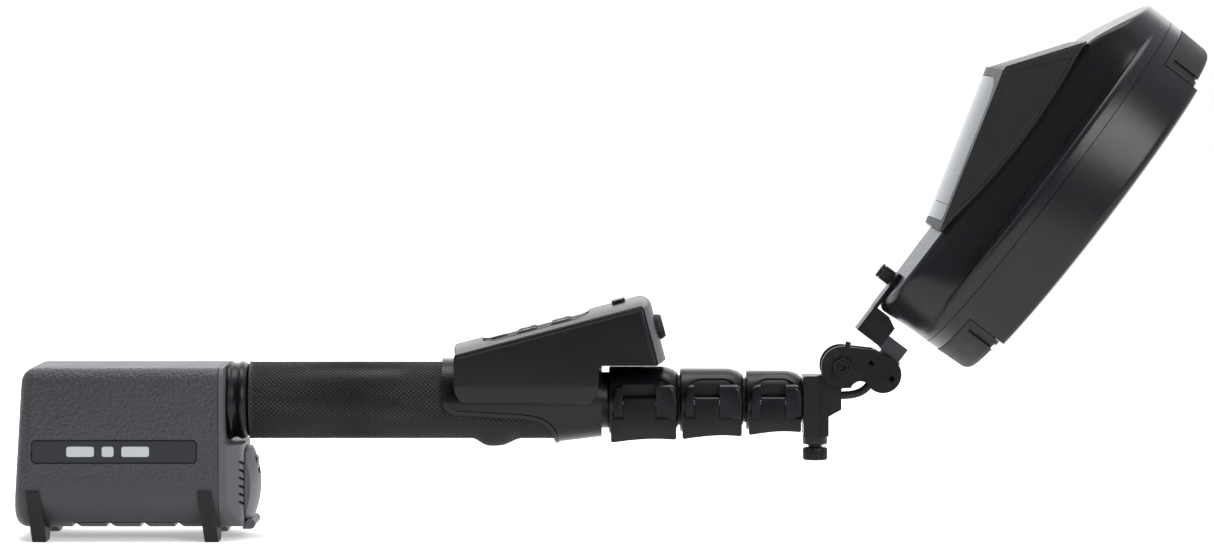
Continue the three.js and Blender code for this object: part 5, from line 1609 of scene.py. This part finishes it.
def apron(side):
    """The part of a flat side that hangs over the saddle's edge, with a bowed lower line."""
    bowed = bowed_line(0)
    top = SADDLE_TOP + 1
    y0, y1 = sorted((side * (DISPLAY_HALF - 8), side * DISPLAY_HALF))
    made = prism(bowed + [(bowed[-1][0], top), (bowed[0][0], top)], "XZ", y0, y1)
    lower = edges_where(made, lambda co: abs(co.y) > DISPLAY_HALF - 0.01 and co.z < SADDLE_TOP + GAP + 0.01)
    return round_edges(made, lower, 1.6, 5)


wedge = joined(prism(display_outline(0), "XZ", -DISPLAY_HALF, DISPLAY_HALF), crown_under(0.2))
plan = prism(rectangle(DISPLAY_REAR, DISPLAY_FRONT, -DISPLAY_HALF, DISPLAY_HALF), "XY", SADDLE_TOP - 9,
             APEX_TOP + 12, all_round(3), 6)
wedge = joined(common(wedge, plan), apron(1), apron(-1))
for side in (-1, 1):
    y0, y1 = sorted((side * (DISPLAY_HALF - SIDE_SUNK), side * (DISPLAY_HALF + 3)))
    sunk = prism(bowed_line(2.2, -0.8, 0.88) + [(30.2, 53.6)], "XZ", y0, y1)
    wedge = cut(wedge, sunk)
wedge = cut(wedge, window_block(0, -GLASS_THICK - GAP, 12))
hollow_floor = block(DISPLAY_REAR, DISPLAY_FRONT, -60, 60, SADDLE_TOP + GAP + 2.2, 90)
wedge = cut(wedge, common(window_block(3, -7.6, 3), hollow_floor))
channel = common(
    block(-11, 11, -19, 19, SADDLE_TOP - 1, APEX_TOP - 5),
    onto(block(-60, 60, -40, 40, -60, -GLASS_THICK), face_frame),
)
wedge = cut(wedge, channel)
piece("display_body", wedge, head_frame, "head", DISPLAY_SKIN, "display_housing", edge=0.9,
      segments=3)

# %% Window
JOINT_AT = -FACE_HALF + BEZEL + 9
for name, from_x, to_x in (("window", JOINT_AT + 0.15, 100), ("window_lower_strip", -100, JOINT_AT - 0.15)):
    pane = common(window_block(GAP, -GLASS_THICK, 12, from_x, to_x), crown_under(GLASS_THICK + 1))
    nodes = "display_glass" if name == "window" else ()
    piece(f"display_{name}", pane, head_frame, "head", SCREEN, nodes, edge=0.3, segments=3)

# %% [markdown]
# ## The short lead
#
# A ribbed sleeve brings the signal lead from the bracket's nose up into the knuckle. It crosses the tilt
# hinge, so it has to bend when the head folds. A tube of rings follows one smooth curve, and every second
# ring is a little fatter, which makes the ribs.

# %% Lead sleeve
def lead_route(count=34):
    start = Vector((BRACKET_FROM + NOSE_AT - 6, 0, LEAD_EXIT))
    along = Vector((math.cos(HEAD_ANGLE), 0, math.sin(HEAD_ANGLE)))
    across = Vector((-math.sin(HEAD_ANGLE), 0, math.cos(HEAD_ANGLE)))
    end = HINGE_AT + along * (1.5 - 2 * GAP) + across * SHAFT_AXIS
    handles = [start, start + Vector((12, 0, -2 / 3)), end - along * 6, end]
    points = []
    for i in range(count):
        t = i / (count - 1)
        shares = [(1 - t) ** 3, 3 * t * (1 - t) ** 2, 3 * t * t * (1 - t), t ** 3]
        points.append(sum((share * handle for share, handle in zip(shares, handles)), Vector()))
    return points


def ribbed_tube(points, radius, sides=32, rib=0.16):
    made = bmesh.new()
    loops = []
    for i, point in enumerate(points):
        ahead = points[min(i + 1, len(points) - 1)] - points[max(i - 1, 0)]
        ring_radius = radius - (rib if i % 2 else 0)
        turn = ahead.to_track_quat("Z", "Y").to_matrix().to_4x4()
        ring = bmesh.ops.create_circle(
            made, segments=sides, radius=ring_radius, cap_ends=i in (0, len(points) - 1),
            matrix=Matrix.Translation(point) @ turn,
        )
        edges = {edge for v in ring["verts"] for edge in v.link_edges}
        loops.append([e for e in edges if all(v in ring["verts"] for v in e.verts)])
    for first, second in zip(loops, loops[1:]):
        rim = [e for e in first + second if e.is_valid and len(e.verts) == 2]
        bmesh.ops.bridge_loops(made, edges=rim)
    return outward(made)


# %% Lead, curving across the tilt hinge
sleeve = onto(ribbed_tube(lead_route(), LEAD_DIAMETER / 2), pole_frame)
lead = as_object(sleeve, "lead_sleeve")
lead.data.materials.append(LEAD)
lead.data.shade_smooth()
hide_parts("head_lead")
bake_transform(lead)
